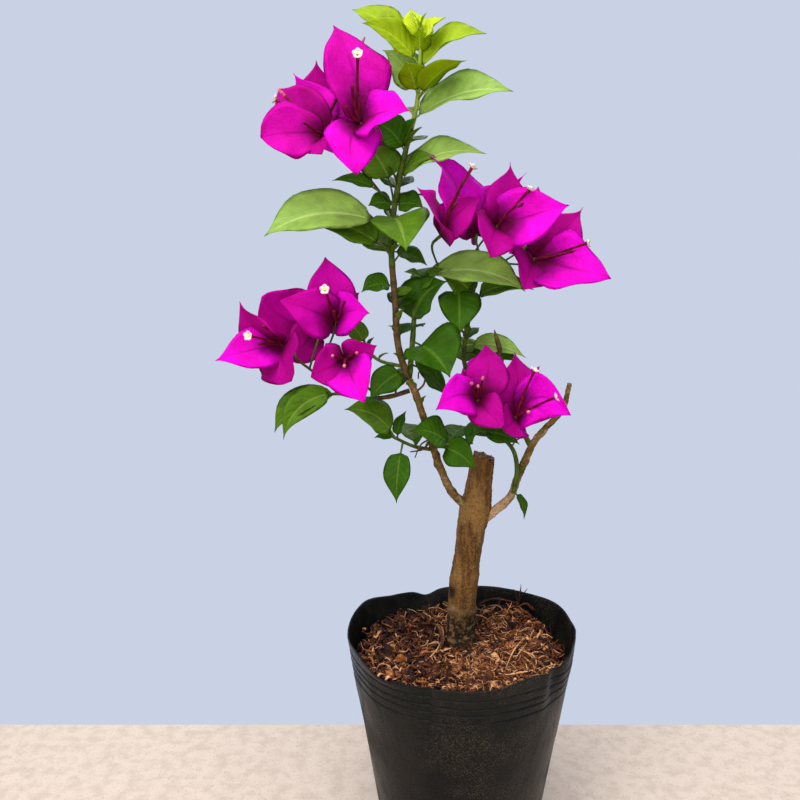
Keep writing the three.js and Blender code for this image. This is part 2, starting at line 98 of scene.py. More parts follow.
# Long pieces of husk that lie on the mix: [spine, radius, flatness, look].
HUSK_STRANDS = [
    [[[-16.5, 29.8, 118], [-11.5, 18.6, 121], [-10.1, 2.7, 121], [-14.6, -9.8, 119]],
     2.8, 0.25, "chip_brown"],
    [[[-11.0, 0.7, 121], [-14.6, -10.8, 120], [-21.2, -20.5, 119], [-28.4, -23.9, 120]],
     0.8, 0.5, "chip_pale"],
    [[[14.8, -30.7, 118], [21.2, -36.1, 119], [29.4, -35.0, 119.5], [36.6, -31.6, 119], [42.5, -26.9, 119]],
     0.9, 0.5, "chip_pale"],
    [[[22, -29, 118], [29, -14, 122], [36, -3, 124]], 0.4, 1, "chip_pale"],
    [[[27, -24, 118], [31, -18, 122], [38, -10, 126]], 0.35, 1, "chip_tan"],
    [[[14.2, 44, 125], [25.2, 46, 127.4], [36.0, 46, 124.4]], 1.7, 0.5, "chip_plum"],
    [[[14.9, 38, 122.8], [26.7, 42, 124.4], [38.8, 38, 121.2]], 1.5, 0.5, "chip_dark"],
    [[[24.4, 46, 126.7], [33.3, 45, 126.5], [42.1, 42, 124.6]], 1.2, 0.5, "chip_brown"],
    [[[38.5, 44, 122], [40.9, 45, 128.8], [41.4, 45, 138]], 0.9, 0.6, "chip_dark"],
    [[[39.5, 44, 124], [42.4, 45, 130], [45.5, 45, 134.5]], 0.7, 0.6, "chip_dark"],
    [[[39.5, 44, 124], [38.6, 45, 130], [36.2, 45, 134.5]], 0.7, 0.6, "chip_plum"],
    [[[38.0, 40, 123.5], [44.2, 41, 126.2], [50.0, 38, 122.6]], 1.7, 0.3, "chip_brown"],
    [[[-57, 20, 117], [-56.5, 14, 122], [-55, 8, 124]], 1.6, 0.35, "chip_pale"],
    [[[-54.8, 38, 117], [-55, 37, 122], [-54, 36, 126.5]], 1.3, 0.35, "chip_pale"],
    [[[-48.0, -27.8, 118], [-45, -30, 122], [-41.4, -31.0, 121], [-39.5, -34.5, 118]], 1.3, 0.4, "chip_pale"],
    [[[-40.1, 22.9, 117], [-39.0, 28.9, 120], [-37, 35, 121]], 1.2, 0.4, "chip_plum"],
]
# Old leaf rings round the stump, [height, width, bulge], and a dark knot above them.
TRUNK_RINGS = [[138, 1.5, 0.75], [121.5, 1.6, 0.6], [157, 2.6, 0.4]]
TRUNK_KNOT = {"spot": [-6, 1, 149.5], "reach": [2.6, 6, 3.4]}
# The stump swells where the boughs leave it and is slimmer below: [height, width, depth].
TRUNK_SWELLS = [[197, 9, 0.9], [172, 14, -0.8]]
# Old joints of the boughs: [place, bulge, side].
BOUGH_JOINTS = [[0.17, 0.5, 1.0], [0.4, 0.8, 3.6], [0.46, 0.4, 0.4], [0.66, 0.6, 5.3], [0.87, 0.5, 2.1]]
JOINT_WIDTH = 0.022
BOUGH_SLIM = 0.8
# Rings of the rough sawn top, from its edge to its middle.
CUT_RINGS = 8
# The floor, in metres: a slab that ends behind the pot.
FLOOR = {"half_width": 1.6, "front": -1.2, "back": 0.115, "thick": 0.03}

# Proportions that every leaf, bract and flower shares, unless its row says otherwise. The
# petiole is a share of the leaf's length, and half widths are shares of the length too.
PETIOLE = 0.13
LEAF_HALF_WIDTH = 0.3
LEAF_FOLD = 22
LEAF_DROOP = 46
LEAF_WIDEST = 0.68
LEAF_BLUNT = 0.62
LEAF_SHARP = 1.55
PETIOLE_RADIUS = 0.5
LEAF_TWIST = 18
LEAF_SKIN = 0.35
BRACT_HALF_WIDTH = 0.38
BRACT_FOLD = 12
BRACT_FLARE = 42
BRACT_WIDEST = 0.66
BRACT_BLUNT = 0.5
BRACT_SHARP = 1.2
BRACT_TWIST = 24
BRACT_SKIN = 0.25
TUBE_LENGTH = 33
TUBE_LEAN = 0.5
TUBE_RADIUS = 0.72
TUBE_RINGS = 14
TUBE_SIDES = 8
STAR_RADIUS = 2.6
PEDICEL_RADIUS = 0.6
PEDICEL_RUN = 7
STALK_RADII = [0.8, 0.7]
YOUNG_LEAF_EVERY = 9
# The bracts of a head that names none.
EVEN_BRACT = {"rise": 46, "length": 38}
# Rings of a flower's open mouth, from its eye over the rim to its back: [reach, lift].
STAR_RINGS = [[0.3, 0.2], [0.7, 0.55], [1.0, 0.9], [0.7, 0.15], [0.3, -0.35]]
# What starts each run of seeded numbers.
SEEDS = {"clusters": 101, "shoots": 301, "young": 500, "loose": 77, "chips": 11, "fibres": 23}

# The stump and its boughs, each a smooth line with its radius from foot to tip.
LIMBS = {
    "trunk": {
        "spine": [[0.5, 8, 113], [1.5, 8, 148], [5, 7.5, 177], [9, 7, 203], [12.5, 6, 229]],
        "radii": [9, 8.2, 8.4, 8, 6.3],
    },
    "left_bough": {
        "spine": [[4, 6, 199], [-5.7, 1, 209], [-12.8, -3, 224.5], [-18.5, -8, 242], [-25.9, -13, 265],
                  [-30.2, -14, 275]],
        "radii": [3, 2.5, 2.3],
    },
    "right_bough": {
        "spine": [[11, 7, 191], [18, 5, 196.5], [27, 2, 206], [31, 0, 218], [38.6, -2, 237.5], [46, 2, 245.5],
                  [56, 5, 256], [60, 8, 270]],
        "radii": [3.3, 2.7, 2.5, 2.1, 1.6],
    },
}

# The main shoot, whose foliage is three masses one above another.
LEADER = [[-31, -14.3, 276], [-36, -15, 293], [-37.6, -16, 316], [-39.5, -16, 350], [-34.5, -16, 382],
          [-27.5, -14, 410], [-25.5, -13, 425], [-24.5, -12, 453.5]]
LEADER_RADII = [1.9, 1.7, 1.5, 1.2, 0.8]

# Leafy shoots, each with its spine, its radii, the part of the spine that carries its leaves, how
# many leaves face away from the viewer with their seed, and its stem's look where that is woody.
# A leaf is [place along the shoot, heading, rise, length, roll]. Its heading and rise run from its
# root to its tip, and its roll turns its face about that line: above 0 it shows the viewer the face
# of a leaf that points right, and below 0 of one that points left. Then comes whatever sets it
# apart: how far it droops, the fold of its halves, its breadth, its tone, its petiole's share of
# its length, and widest, which is larger where it is broadest nearer its tip.
# A row's tone is partly the leaf's own green and partly painted light and shade: a leaf that looks lit takes
# a paler tone, and one that lies in shade a deeper tone.
SHOOTS = {
    "middle_foliage": {
        "spine": LEADER, "radii": LEADER_RADII, "part": [0, 0.325], "back": [0, 7], "stem": "twig_brown",
        "leaves": [
            [0.27, 200, -9, 18, -42, {"droop": 64, "breadth": 1.45}],
            [0.02, 211, -33, 26, -46, {"breadth": 1.15}],
            [0.24, 20, 20, 12, 40, {"tone": "fresh"}],
            [0.12, 62, 8, 32, 0, {}],
            [0.2, 72, 15, 30, 10, {}],
        ],
    },
    "upper_foliage": {
        "spine": LEADER, "radii": LEADER_RADII, "part": [0.32, 0.72], "back": [5, 7],
        "leaves": [
            [0.58, 350, 13, 45, 38,
             {"droop": 56, "fold": 28, "breadth": 1.02, "tone": "pale", "petiole": 0.05}],
            [0.57, 327, 24, 24, 46, {"droop": 60, "breadth": 1.2, "tone": "fresh"}],
            [0.65, 322, 66, 18, 60, {"breadth": 1.6}],
            [0.65, 196, 40, 22, -60, {"droop": 50, "breadth": 2.0}],
            [0.655, 319, 44, 15, 30, {"breadth": 1.3}],
            [0.5, 191, 20, 34, -52, {"droop": 60, "fold": 30, "breadth": 0.5, "petiole": 0.4}],
            [0.49, 172, 66, 35, -70, {"breadth": 1.1, "tone": "fresh", "petiole": 0.44}],
            [0.55, 216, 56, 13, -40, {}],
            [0.435, 189, -4, 65, -48,
             {"droop": 64, "fold": 28, "breadth": 0.88, "widest": 0.9, "tone": "pale", "petiole": 0.16}],
            [0.36, 183, 19, 46, -50,
             {"droop": 56, "fold": 28, "breadth": 0.95, "tone": "fresh", "petiole": 0.2}],
            [0.47, 282, -31, 37, 10, {"breadth": 1.55, "fold": 30, "tone": "fresh"}],
            [0.5, 338, -6, 16, 50, {"breadth": 1.75}],
            [0.5, 196, -2, 14, -50, {"breadth": 1.8}],
            [0.37, 0, -21, 20, 40, {"breadth": 1.2}],
            [0.36, 210, 38, 11, -30, {}],
            [0.5, 49, 15, 25, 10, {}],
        ],
    },
    "tip_foliage": {
        "spine": LEADER, "radii": LEADER_RADII, "part": [0.715, 1], "back": [3, 5], "tone": "lime",
        "leaves": [
            [0.93, 166, 32, 42, -50, {"droop": 32, "fold": 30, "breadth": 0.8, "widest": 1.2}],
            [0.89, 209, 26, 36, -64, {"droop": 50, "fold": 26, "breadth": 1.16}],
            [0.95, 141, 70, 19, -12, {"breadth": 1.9, "tone": "bright", "droop": 20}],
            [0.94, 352, 47, 19, 34, {"breadth": 1.7, "tone": "bright"}],
            [0.92, 262, 62, 13, 0, {"breadth": 1.6, "tone": "bright"}],
            [0.88, 348, 24, 37, 40,
             {"droop": 62, "fold": 30, "breadth": 1.2, "widest": 0.95, "petiole": 0.06}],
            [0.8, 318, 23, 34, 0, {"droop": 56, "fold": 26, "breadth": 1.0}],
            [0.81, 249, 31, 23, 16, {"droop": 40, "fold": 26, "breadth": 1.15}],
            [0.745, 351, 13, 51, 42,
             {"droop": 48, "fold": 30, "breadth": 1.08, "widest": 0.92, "tone": "pale", "petiole": 0.06}],
            [0.81, 135, 46, 37, 110, {"tone": "pale", "breadth": 0.9}],
            [0.985, 200, 60, 9, -30, {"tone": "bright"}],
            [0.99, 330, 66, 8, 20, {"tone": "bright"}],
            [0.79, 330, 40, 9, 30, {}],
        ],
    },
    "upper_left_foliage": {
        "spine": [[-34, -15, 282], [-45.6, -12, 284.6], [-52.2, -8, 290], [-55.5, -4, 298]],
        "radii": [1, 0.7], "back": [0, 9],
        "leaves": [
            [0.8, 170, 46, 18, -60, {"tone": "fresh", "breadth": 1.15}],
            [0.66, 235, -35, 13, -20, {}],
            [0.97, 140, 10, 24, 0, {}],
        ],
    },
    "left_foliage": {
        "spine": [[-30, -15, 269], [-41, -17, 266], [-55, -16, 265], [-68.4, -16, 268]],
        "radii": [1.3, 1], "back": [2, 13], "stem": "twig_brown",
        "leaves": [
            [0.97, 200, -37, 38, -66, {"droop": 88, "fold": 30, "breadth": 0.75, "tone": "fresh"}],
            [0.9, 186, -28, 42, -50,
             {"droop": 74, "fold": 28, "breadth": 0.76, "widest": 0.9, "tone": "fresh"}],
            [0.5, 262, -8, 14, 0, {}],
        ],
    },
    "lower_left_foliage": {
        "spine": [[-17, -6, 235], [-27.5, -12, 238.2], [-38.5, -18, 244.5]],
        "radii": [1.1, 0.8], "back": [1, 17],
        "leaves": [
            [0.97, 198, 31, 32, -46, {"droop": 68, "fold": 24, "breadth": 1.26, "tone": "fresh"}],
            [0.9, 42, 66, 16, 0, {}],
            [0.75, 252, -70, 33, 0, {"breadth": 0.85, "petiole": 0.2}],
            [0.95, 163, -3, 12, -40, {}],
        ],
    },
    "lower_middle_foliage": {
        "spine": [[-17.5, -7, 238], [-8, -14, 238], [4, -16, 241]],
        "radii": [1, 0.7], "back": [1, 21],
        "leaves": [
            [0.5, 205, 24, 26, -50, {"droop": 62, "breadth": 1.35}],
            [0.25, 316, -21, 26, 62, {"breadth": 1.2}],
            [0.8, 324, 39, 20, 50, {"breadth": 1.2, "droop": 60}],
        ],
    },
    "centre_foliage": {
        "spine": [[-30.4, -14, 272], [-28.3, -9, 295.5], [-27, -7, 314], [-25.4, -6, 322], [-20.1, -6, 331]],
        "radii": [1.6, 1.2], "back": [4, 23],
        "leaves": [
            [0.97, 351, -9, 53, 44,
             {"droop": 56, "fold": 24, "breadth": 0.88, "widest": 0.95, "tone": "pale", "petiole": 0.05}],
            [0.5, 336, 52, 31, 62, {"droop": 80, "fold": 26, "breadth": 1.6}],
            [0.38, 312, -31, 33, 32, {"droop": 44, "fold": 38, "breadth": 2.1, "petiole": 0.2}],
            [0.28, 43, -46, 18, 40, {}],
            [0.27, 345, -42, 21, 60, {}],
            [0.18, 31, -40, 31, 60, {}],
            [0.93, 201, 20, 12, -40, {"tone": "fresh"}],
            [0.8, 345, 41, 20, 44, {"tone": "fresh", "breadth": 1.1}],
        ],
    },
    "right_foliage": {
        "spine": [[37.5, -2, 236], [27.8, 6, 253], [12.7, 8, 265], [1.3, 8, 280], [2, 5, 300], [5.4, 0, 327]],
        "radii": [1.5, 1.1], "back": [5, 29],
        "leaves": [
            [0.9, 330, 9, 36, 46,
             {"droop": 54, "fold": 28, "breadth": 0.9, "tone": "fresh", "petiole": 0.14}],
            [0.93, 212, 24, 24, -88, {"tone": "fresh", "breadth": 1.35}],
            [0.66, 337, -9, 35, 46, {"droop": 44, "fold": 28, "breadth": 0.72, "tone": "pale"}],
            [0.62, 343, -10, 35, 44, {"droop": 44, "fold": 28, "breadth": 0.5}],
            [0.68, 52, 27, 16, 0, {}],
            [0.06, 188, 6, 38, -20, {"droop": 60, "breadth": 0.8}],
            [0.8, 110, -10, 15, 20, {}],
        ],
    },
}

# Blossom. A head is at a place along its stalk, with the spot where its bracts join, the way it
# faces, its three bracts and its flowers. A bract is [heading, rise, length] and what sets it
# apart: its breadth, its sweep to one side, how sharp its tip is, its widest place and tone as in a
# leaf, and its roll. A flower is [heading, rise, length], then open, with the heading and rise that
# its mouth faces, a bud with a pale tip, or shut. A head with a spin opens evenly.
# The bright, mid and deep tones of the bracts are partly colour that differs from bract to bract and partly
# painted light and shade: a bract whose face is turned up to the light takes the bright tone, and bracts
# turned towards the viewer, and those in shade, take the mid and deep tones.
CLUSTERS = {
    "top_blossom": {
        "stalk": [[-39.3, -14, 361], [-45, -4, 372], [-60, -8, 390]],
        "heads": [
            {"at": 1, "spot": [-54, -34, 402], "faces": [290, 40],
             "bracts": [[137, 69, 52,
                         {"sweep": 0.03, "breadth": 0.88, "sharp": 1.4, "widest": 0.84, "tone": "mid"}],
                        [324, 5, 29, {"breadth": 1.3, "tone": "bright", "roll": 20}],
                        [264, -58, 31,
                         {"breadth": 1.15, "sharp": 0.9, "widest": 0.85, "sweep": 0.14, "tone": "bright"}]],
             "flowers": [[269, 60, 32, "open", 262, 12], [246, 19, 16, "shut"], [255, 51, 20, "shut"]]},
            {"at": 0.9, "spot": [-73, -20, 399], "faces": [225, 30],
             "bracts": [[198, -5, 32,
                         {"sweep": -0.04, "breadth": 1.22, "sharp": 0.75, "widest": 1.15, "roll": -38,
                          "tone": "mid"}],
                        [150, 42, 38, {"tone": "deep"}],
                        [271, -36, 20, {"breadth": 1.4, "sharp": 0.8, "tone": "deep"}]],
             "flowers": [[185, 35, 29, "open", 190, 20], [166, 44, 34, "bud"], [238, 13, 17, "shut"]]},
            {"at": 0.8, "spot": [-76, 6, 408], "faces": [110, 40],
             "bracts": [[125, 80, 35, {"sharp": 1.6, "breadth": 1.3, "tone": "deep"}],
                        [168, 60, 32, {"sharp": 1.8, "breadth": 1.1, "tone": "bright"}],
                        [70, -20, 36, {}]],
             "flowers": [[333, 58, 49, "bud"], [100, 40, 30, "open"], [120, 55, 24, "bud"]]},
            {"at": 0.6, "spot": [-54, 16, 402], "faces": [80, 25], "spin": 60, "length": 28},
        ],
    },
    "right_upper_blossom": {
        "stalk": [[-18, -4, 332.5], [-4, 2, 336], [10, 4, 337], [22, 6, 336]],
        "heads": [
            {"at": 0.1, "spot": [-14.5, -24, 349], "faces": [325, 42],
             "bracts": [[134, 82, 41,
                         {"sweep": 0.36, "breadth": 1.45, "sharp": 0.55, "widest": 1.35, "tone": "bright"}],
                        [237, 44, 32, {"sharp": 1.2, "sweep": -0.15, "breadth": 1.38, "tone": "deep"}],
                        [0, 44, 28, {"breadth": 0.9, "sweep": -0.06, "tone": "deep"}]],
             "flowers": [[324, 61, 37, "open", 20, 50], [312, 58, 32, "shut"], [294, 42, 23, "shut"]]},
            {"at": 0.5, "spot": [15.4, -12, 354.5], "faces": [300, 20],
             "bracts": [[44, 74, 35, {"breadth": 1.05, "sharp": 2.2, "tone": "deep"}],
                        [350, 16, 38, {"breadth": 1.1, "sharp": 1.4, "tone": "bright"}],
                        [256, -34, 29, {"breadth": 1.35, "sharp": 0.8, "sweep": 0.1, "tone": "deep"}]],
             "flowers": [[332, 46, 25, "open", 20, 60], [305, 34, 18, "shut"], [335, 40, 18, "shut"]]},
            {"at": 1, "spot": [37, 0, 338], "faces": [295, 20],
             "bracts": [[20, 44, 41, {"sharp": 2.3, "tone": "deep"}],
                        [339, -14, 42, {"breadth": 1.16, "sharp": 1.1, "sweep": 0.06, "tone": "bright"}],
                        [247, -39, 25, {"breadth": 1.55, "sharp": 0.9, "sweep": 0.06, "tone": "deep"}]],
             "flowers": [[331, 16, 30, "open", 340, 10], [319, 10, 25, "shut"], [345, 4, 26, "shut"]]},
            {"at": 0.7, "spot": [8, 22, 352], "faces": [85, 40],
             "bracts": [[347, 51, 43, {"sharp": 2.4, "breadth": 0.9}], [120, 40, 36, {}], [195, 32, 30, {}]]},
            {"at": 0.95, "spot": [36, 22, 346], "faces": [60, 20], "spin": 0},
        ],
    },
    "left_blossom": {
        "stalk": [[-68.8, -16, 268.8], [-79.8, -12, 277.6], [-90, -10, 285]],
        "heads": [
            {"at": 1, "spot": [-98, -11, 293], "faces": [235, 5],
             "bracts": [[205, -11, 36, {"sweep": 0.0, "breadth": 0.92, "sharp": 1.3, "tone": "bright"}],
                        [205, 47, 32, {"breadth": 0.95, "sharp": 1.4, "sweep": -0.1, "tone": "deep"}],
                        [294, -44, 25, {"breadth": 1.8, "sharp": 0.6, "tone": "deep"}]],
             "flowers": [[233, 15, 24, "open", 250, 5], [243, 34, 20, "shut"], [225, 5, 15, "shut"]]},
            {"at": 0.5, "spot": [-68, -22, 306], "faces": [270, 15],
             "bracts": [[134, 76, 34, {"breadth": 1.02, "sharp": 1.2, "tone": "mid"}],
                        [211, 20, 33, {"breadth": 1.05, "sharp": 1.1, "tone": "mid"}],
                        [330, 13, 21, {"breadth": 1.5, "sharp": 1.2, "sweep": -0.14, "tone": "bright"}]],
             "flowers": [[253, 49, 22, "open", 262, 8], [295, 41, 17, "shut"], [270, 25, 14, "shut"]]},
            {"at": 0.1, "spot": [-62.4, -36, 287.4], "faces": [272, -5],
             "bracts": [[300, -42, 28, {"breadth": 1.2, "sharp": 1.1, "tone": "bright"}],
                        [214, -20, 21, {"breadth": 1.5, "sharp": 0.8, "tone": "deep"}],
                        [338, 25, 19, {"breadth": 1.3, "sharp": 1.2, "tone": "deep"}]],
             "flowers": [[272, -4, 18, "bud"], [300, 20, 14, "bud"], [245, 14, 14, "bud"]]},
            {"at": 0.7, "spot": [-80, 8, 300], "faces": [100, 15],
             "bracts": [[206, 30, 37, {"sharp": 0.8, "breadth": 1.45, "sweep": 0.14, "tone": "mid"}],
                        [329, 37, 34, {"sharp": 1.3, "breadth": 1.1, "tone": "bright"}],
                        [232, -39, 26, {"breadth": 1.2, "sharp": 0.8, "tone": "deep"}]]},
        ],
    },
    "right_lower_blossom": {
        "stalk": [[12.5, 7.5, 264.5], [14, -4, 260], [16, -12, 256]],
        "heads": [
            {"at": 0.9, "spot": [5, -28, 266], "faces": [262, 10],
             "bracts": [[64, 70, 30, {"breadth": 1.05, "sharp": 1.2, "sweep": 0.12, "tone": "deep"}],
                        [214, -6, 27, {"breadth": 1.12, "sharp": 1.2, "sweep": 0.17, "tone": "bright"}],
                        [310, -33, 22, {"breadth": 1.2, "sharp": 0.9, "tone": "deep"}]],
             "flowers": [[277, 49, 18, "bud"], [250, 39, 17, "bud"], [265, 31, 19, "bud"]]},
            {"at": 1, "spot": [26, -22, 256], "faces": [290, 10],
             "bracts": [[90, 72, 35, {"sharp": 1.5, "tone": "deep"}],
                        [335, 6, 29, {"breadth": 1.25, "sweep": -0.34, "sharp": 0.9, "tone": "bright"}],
                        [230, -26, 13, {"breadth": 2.2, "sharp": 0.6, "tone": "deep"}]],
             "flowers": [[304, 63, 29, "open", 330, 60], [313, 28, 28, "open", 350, 25],
                         [290, 20, 15, "bud"]]},
        ],
    },
    "right_back_blossom": {
        "stalk": [[14, 10, 264], [19, 18, 262], [21, 24, 262]],
        "heads": [
            {"at": 1, "spot": [33, 30, 262], "faces": [70, -10], "spin": 30, "length": 28},
            {"at": 0.9, "spot": [14, 34, 264], "faces": [95, 0], "spin": 0, "length": 30},
        ],
    },
}

# Bare twigs that carry a leaf or a dried flower: [spine, radii, look].
LOOSE_TWIGS = [
    [[[28.8, -0.5, 209.3], [29.8, -4, 223.1], [26.8, -8, 235.3], [19, -12, 243.3], [9, -14, 246.5]],
     [1.5, 1.2, 0.8], "twig_green"],
    [[[12.8, 6.5, 267], [16, 0, 274], [20.5, -6, 283], [18.6, -8, 287]], [0.6, 0.5], "twig_brown"],
    [[[18.6, -8, 286], [18.2, -8.6, 291], [16.4, -9, 297], [15.2, -9, 301]],
     [0.5, 1.5, 1.3, 0.2], "twig_brown"],
    [[[-19, -8.5, 240], [-22.5, -12, 236.6], [-29.5, -14, 235.5]], [0.7, 0.35], "twig_brown"],
    [[[-19, -9, 241.5], [-24, -13, 239], [-27, -15, 232.5]], [0.5, 0.3], "twig_brown"],
    [[[-26.5, -13, 268], [-22.3, -12, 272], [-21.8, -11, 277], [-24.8, -11, 278.6], [-25.2, -12, 275]],
     [0.6, 0.4], "twig_brown"],
    [[[-38.5, -15.5, 336], [-35, -19, 341], [-33.5, -20, 347]], [0.6, 0.3], "twig_green"],
    [[[4.0, 3, 314], [1.5, 0, 319], [-3.3, -2, 321.9]], [0.6, 0.45], "twig_green"],
    [[[-20, -8, 238], [-16, -12, 246], [-2, -14, 250]], [0.5, 0.35], "twig_green"],
]

# Leaves on bare twigs and boughs: [root, heading, rise, length, roll, what sets it apart].
LOOSE_LEAVES = [
    [[-3.3, -2, 321.9], 267, -53, 30, -6, {"breadth": 1.4, "petiole": 0.05}],
    [[28.8, -2, 210.3], 350, -70, 17, 30, {"breadth": 0.8}],
    [[19, -12, 243.3], 205, 6, 20, -40, {"droop": 60}],
    [[8, -13.8, 246], 345, -14, 22, 56, {"droop": 50}],
    [[30, -3, 221], 20, 40, 9, 20, {"tone": "fresh"}],
    [[26, -8.6, 236.5], 320, 50, 8, 20, {"tone": "fresh"}],
    [[-27, -13, 268], 230, 55, 11, -20, {}],
    [[-24, -12, 260], 300, 50, 9, 20, {"tone": "fresh"}],
]


# Directions, lines and seeded numbers

UP = np.array([0.0, 0.0, 1.0])


def unit(vector):
    return vector / np.linalg.norm(vector, axis=-1, keepdims=True)


def heading(turn, rise):
    turn, rise = math.radians(turn), math.radians(rise)
    return np.array([math.cos(turn) * math.cos(rise), math.sin(turn) * math.cos(rise), math.sin(rise)])


def square_to(direction, other):
    """The part of a direction that is square to another."""
    return unit(direction - other * np.dot(direction, other))


def spun(vector, axis, degrees):
    """A vector turned about a unit axis."""
    angle = math.radians(degrees)
    return (vector * math.cos(angle) + np.cross(axis, vector) * math.sin(angle)
            + axis * np.dot(axis, vector) * (1 - math.cos(angle)))


def smooth(low, high, value):
    share = np.clip((value - low) / (high - low), 0, 1)
    return share * share * (3 - 2 * share)


def bell(value, middle, width):
    """A smooth hump that is 1 at its middle and nearly 0 two widths away."""
    return np.exp(-((value - middle) / width) ** 2)


def along(numbers, share):
    """A value read from a short list spread evenly over 0 to 1."""
    return np.interp(share, np.linspace(0, 1, len(numbers)), numbers)


def rough(x, y, z, scale):
    """Smooth random relief, from about -1 to 1, whose lumps are about scale across."""
    return noise.fractal(Vector((x / scale, y / scale, z / scale)), 0.7, 2.1, 3)


class Seeded:
    """The same run of numbers for the same seed."""

    def __init__(self, seed):
        self.state = seed

    def next(self):
        self.state = (self.state * 1664525 + 1013904223) % 4294967296
        return self.state / 4294967296


# Steps of a smooth line from each of its points to the next.
LINE_STEPS = 24


class Line:
    """A smooth line through points, read by its share of length."""

    def __init__(self, points):
        spots = np.array(points, float)
        ends = np.vstack([2 * spots[0] - spots[1], spots, 2 * spots[-1] - spots[-2]])
        t = np.linspace(0, 1, LINE_STEPS, endpoint=False)[:, None]
        runs = []
        for a, b, c, d in zip(ends, ends[1:], ends[2:], ends[3:]):
            leave, arrive = (c - a) / 2, (d - b) / 2
            runs.append(b + leave * t + (3 * (c - b) - 2 * leave - arrive) * t ** 2
                        + (2 * (b - c) + leave + arrive) * t ** 3)
        self.spots = np.vstack(runs + [ends[-2]])
        gone = np.concatenate([[0], np.cumsum(np.linalg.norm(np.diff(self.spots, axis=0), axis=1))])
        self.length = gone[-1]
        self.share = gone / self.length

    def at(self, share):
        return np.stack([np.interp(share, self.share, self.spots[:, k]) for k in range(3)], axis=-1)


# Gathering many small shapes into one piece

def put_in_scene(name, data):
    made = bpy.data.objects.new(name, data)
    bpy.context.scene.collection.objects.link(made)
    return made


class Piece:
    """Vertices, faces, looks and marks of one joined mesh. Marks are numbers kept on each vertex."""

    def __init__(self, name, looks, marks=()):
        self.name = name
        self.looks = list(looks)
        self.spots = []
        self.faces = []
        self.face_looks = []
        self.marks = {mark: [] for mark in marks}
        self.count = 0

    def add(self, spots, faces, look, **marks):
        spots = np.asarray(spots, float)
        looks = [look] * len(faces) if isinstance(look, str) else look
        self.faces += [tuple(corner + self.count for corner in face) for face in faces]
        self.face_looks += [self.looks.index(each) for each in looks]
        self.spots.append(spots)
        self.count += len(spots)
        for mark, values in self.marks.items():
            given = marks.get(mark, 0.0)
            values.append(np.full(len(spots), given) if np.isscalar(given) else np.asarray(given, float))

    def build(self, materials, replaces, slot):
        mesh = bpy.data.meshes.new(self.name)
        mesh.from_pydata((np.vstack(self.spots) * MM).tolist(), [], self.faces)
        for look in self.looks:
            mesh.materials.append(materials[look])
        mesh.polygons.foreach_set("material_index", self.face_looks)
        mesh.polygons.foreach_set("use_smooth", [True] * len(self.faces))
        for mark, values in self.marks.items():
            attribute = mesh.attributes.new(mark, "FLOAT", "POINT")
            attribute.data.foreach_set("value", np.concatenate(values).astype(np.float32))
        mesh.update()
        made = put_in_scene(self.name, mesh)
        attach(made, "root")
        if replaces:
            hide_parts(*replaces)


def ring_faces(rings, sides):
    """Faces of a tube with a middle vertex at each end, in the order ring by ring, foot, tip."""
    faces = []
    for i in range(rings - 1):
        for j in range(sides):
            k = (j + 1) % sides
            faces.append((i * sides + j, i * sides + k, (i + 1) * sides + k, (i + 1) * sides + j))
    foot, tip = rings * sides, rings * sides + 1
    last = (rings - 1) * sides
    for j in range(sides):
        k = (j + 1) % sides
        faces.append((foot, k, j))
        faces.append((tip, last + j, last + k))
    return faces


def frames_along(spots):
    """Directions to the side and up at each spot of a line, turning as little as they can."""
    ahead = unit(np.gradient(spots, axis=0))
    side = square_to(np.array([1.0, 0, 0]) if abs(ahead[0][0]) < 0.9 else np.array([0, 1.0, 0]), ahead[0])
    sides = []
    for direction in ahead:
        side = square_to(side, direction)
        sides.append(side)
    sides = np.array(sides)
    return sides, np.cross(ahead, sides)


def rod(spots, radii, sides, flat=1.0):
    """A closed tube along spots, with a radius at each, or a strip where flat is under 1."""
    spots = np.asarray(spots, float)
    radii = np.broadcast_to(radii, len(spots))
    side, up = frames_along(spots)
    angle = np.arange(sides) * 2 * math.pi / sides
    cosines, sines = np.cos(angle)[None, :, None], np.sin(angle)[None, :, None]
    around = side[:, None] * cosines + up[:, None] * sines * flat
    rings = spots[:, None] + around * radii[:, None, None]
    return np.vstack([rings.reshape(-1, 3), spots[:1], spots[-1:]]), ring_faces(len(spots), sides)


# Leaves and bracts

def bent_path(start, chord, up, bend, shares, length, hook):
    """Middles, ahead and up directions of a line that leaves start about its chord, arching over
    away from up. A hook over 1 puts more of the bend near the tip."""
    fine = np.linspace(0, 1, 49)
    turned = -math.radians(bend) * fine ** hook
    step = 1 / 48
    far = np.concatenate([[0], np.cumsum((np.cos(turned[1:]) + np.cos(turned[:-1])) / 2 * step)])
    high = np.concatenate([[0], np.cumsum((np.sin(turned[1:]) + np.sin(turned[:-1])) / 2 * step)])
    level = math.atan2(high[-1], far[-1])
    reach = length / math.hypot(high[-1], far[-1])
    turned, far, high = (turned - level, (far * math.cos(level) + high * math.sin(level)) * reach,
                         (high * math.cos(level) - far * math.sin(level)) * reach)
    now = np.interp(shares, fine, turned)[:, None]
    middles = (start + chord * np.interp(shares, fine, far)[:, None]
               + up * np.interp(shares, fine, high)[:, None])
    return middles, chord * np.cos(now) + up * np.sin(now), up * np.cos(now) - chord * np.sin(now)


def outline(share, blunt, sharp, widest):
    """Half the width of a leaf or bract from its blunt foot to its sharp tip, as a share of the widest."""
    wave = np.sin(math.pi * np.clip(share, 0, 1) ** widest)
    return np.maximum(wave, 0) ** (blunt + (sharp - blunt) * share)


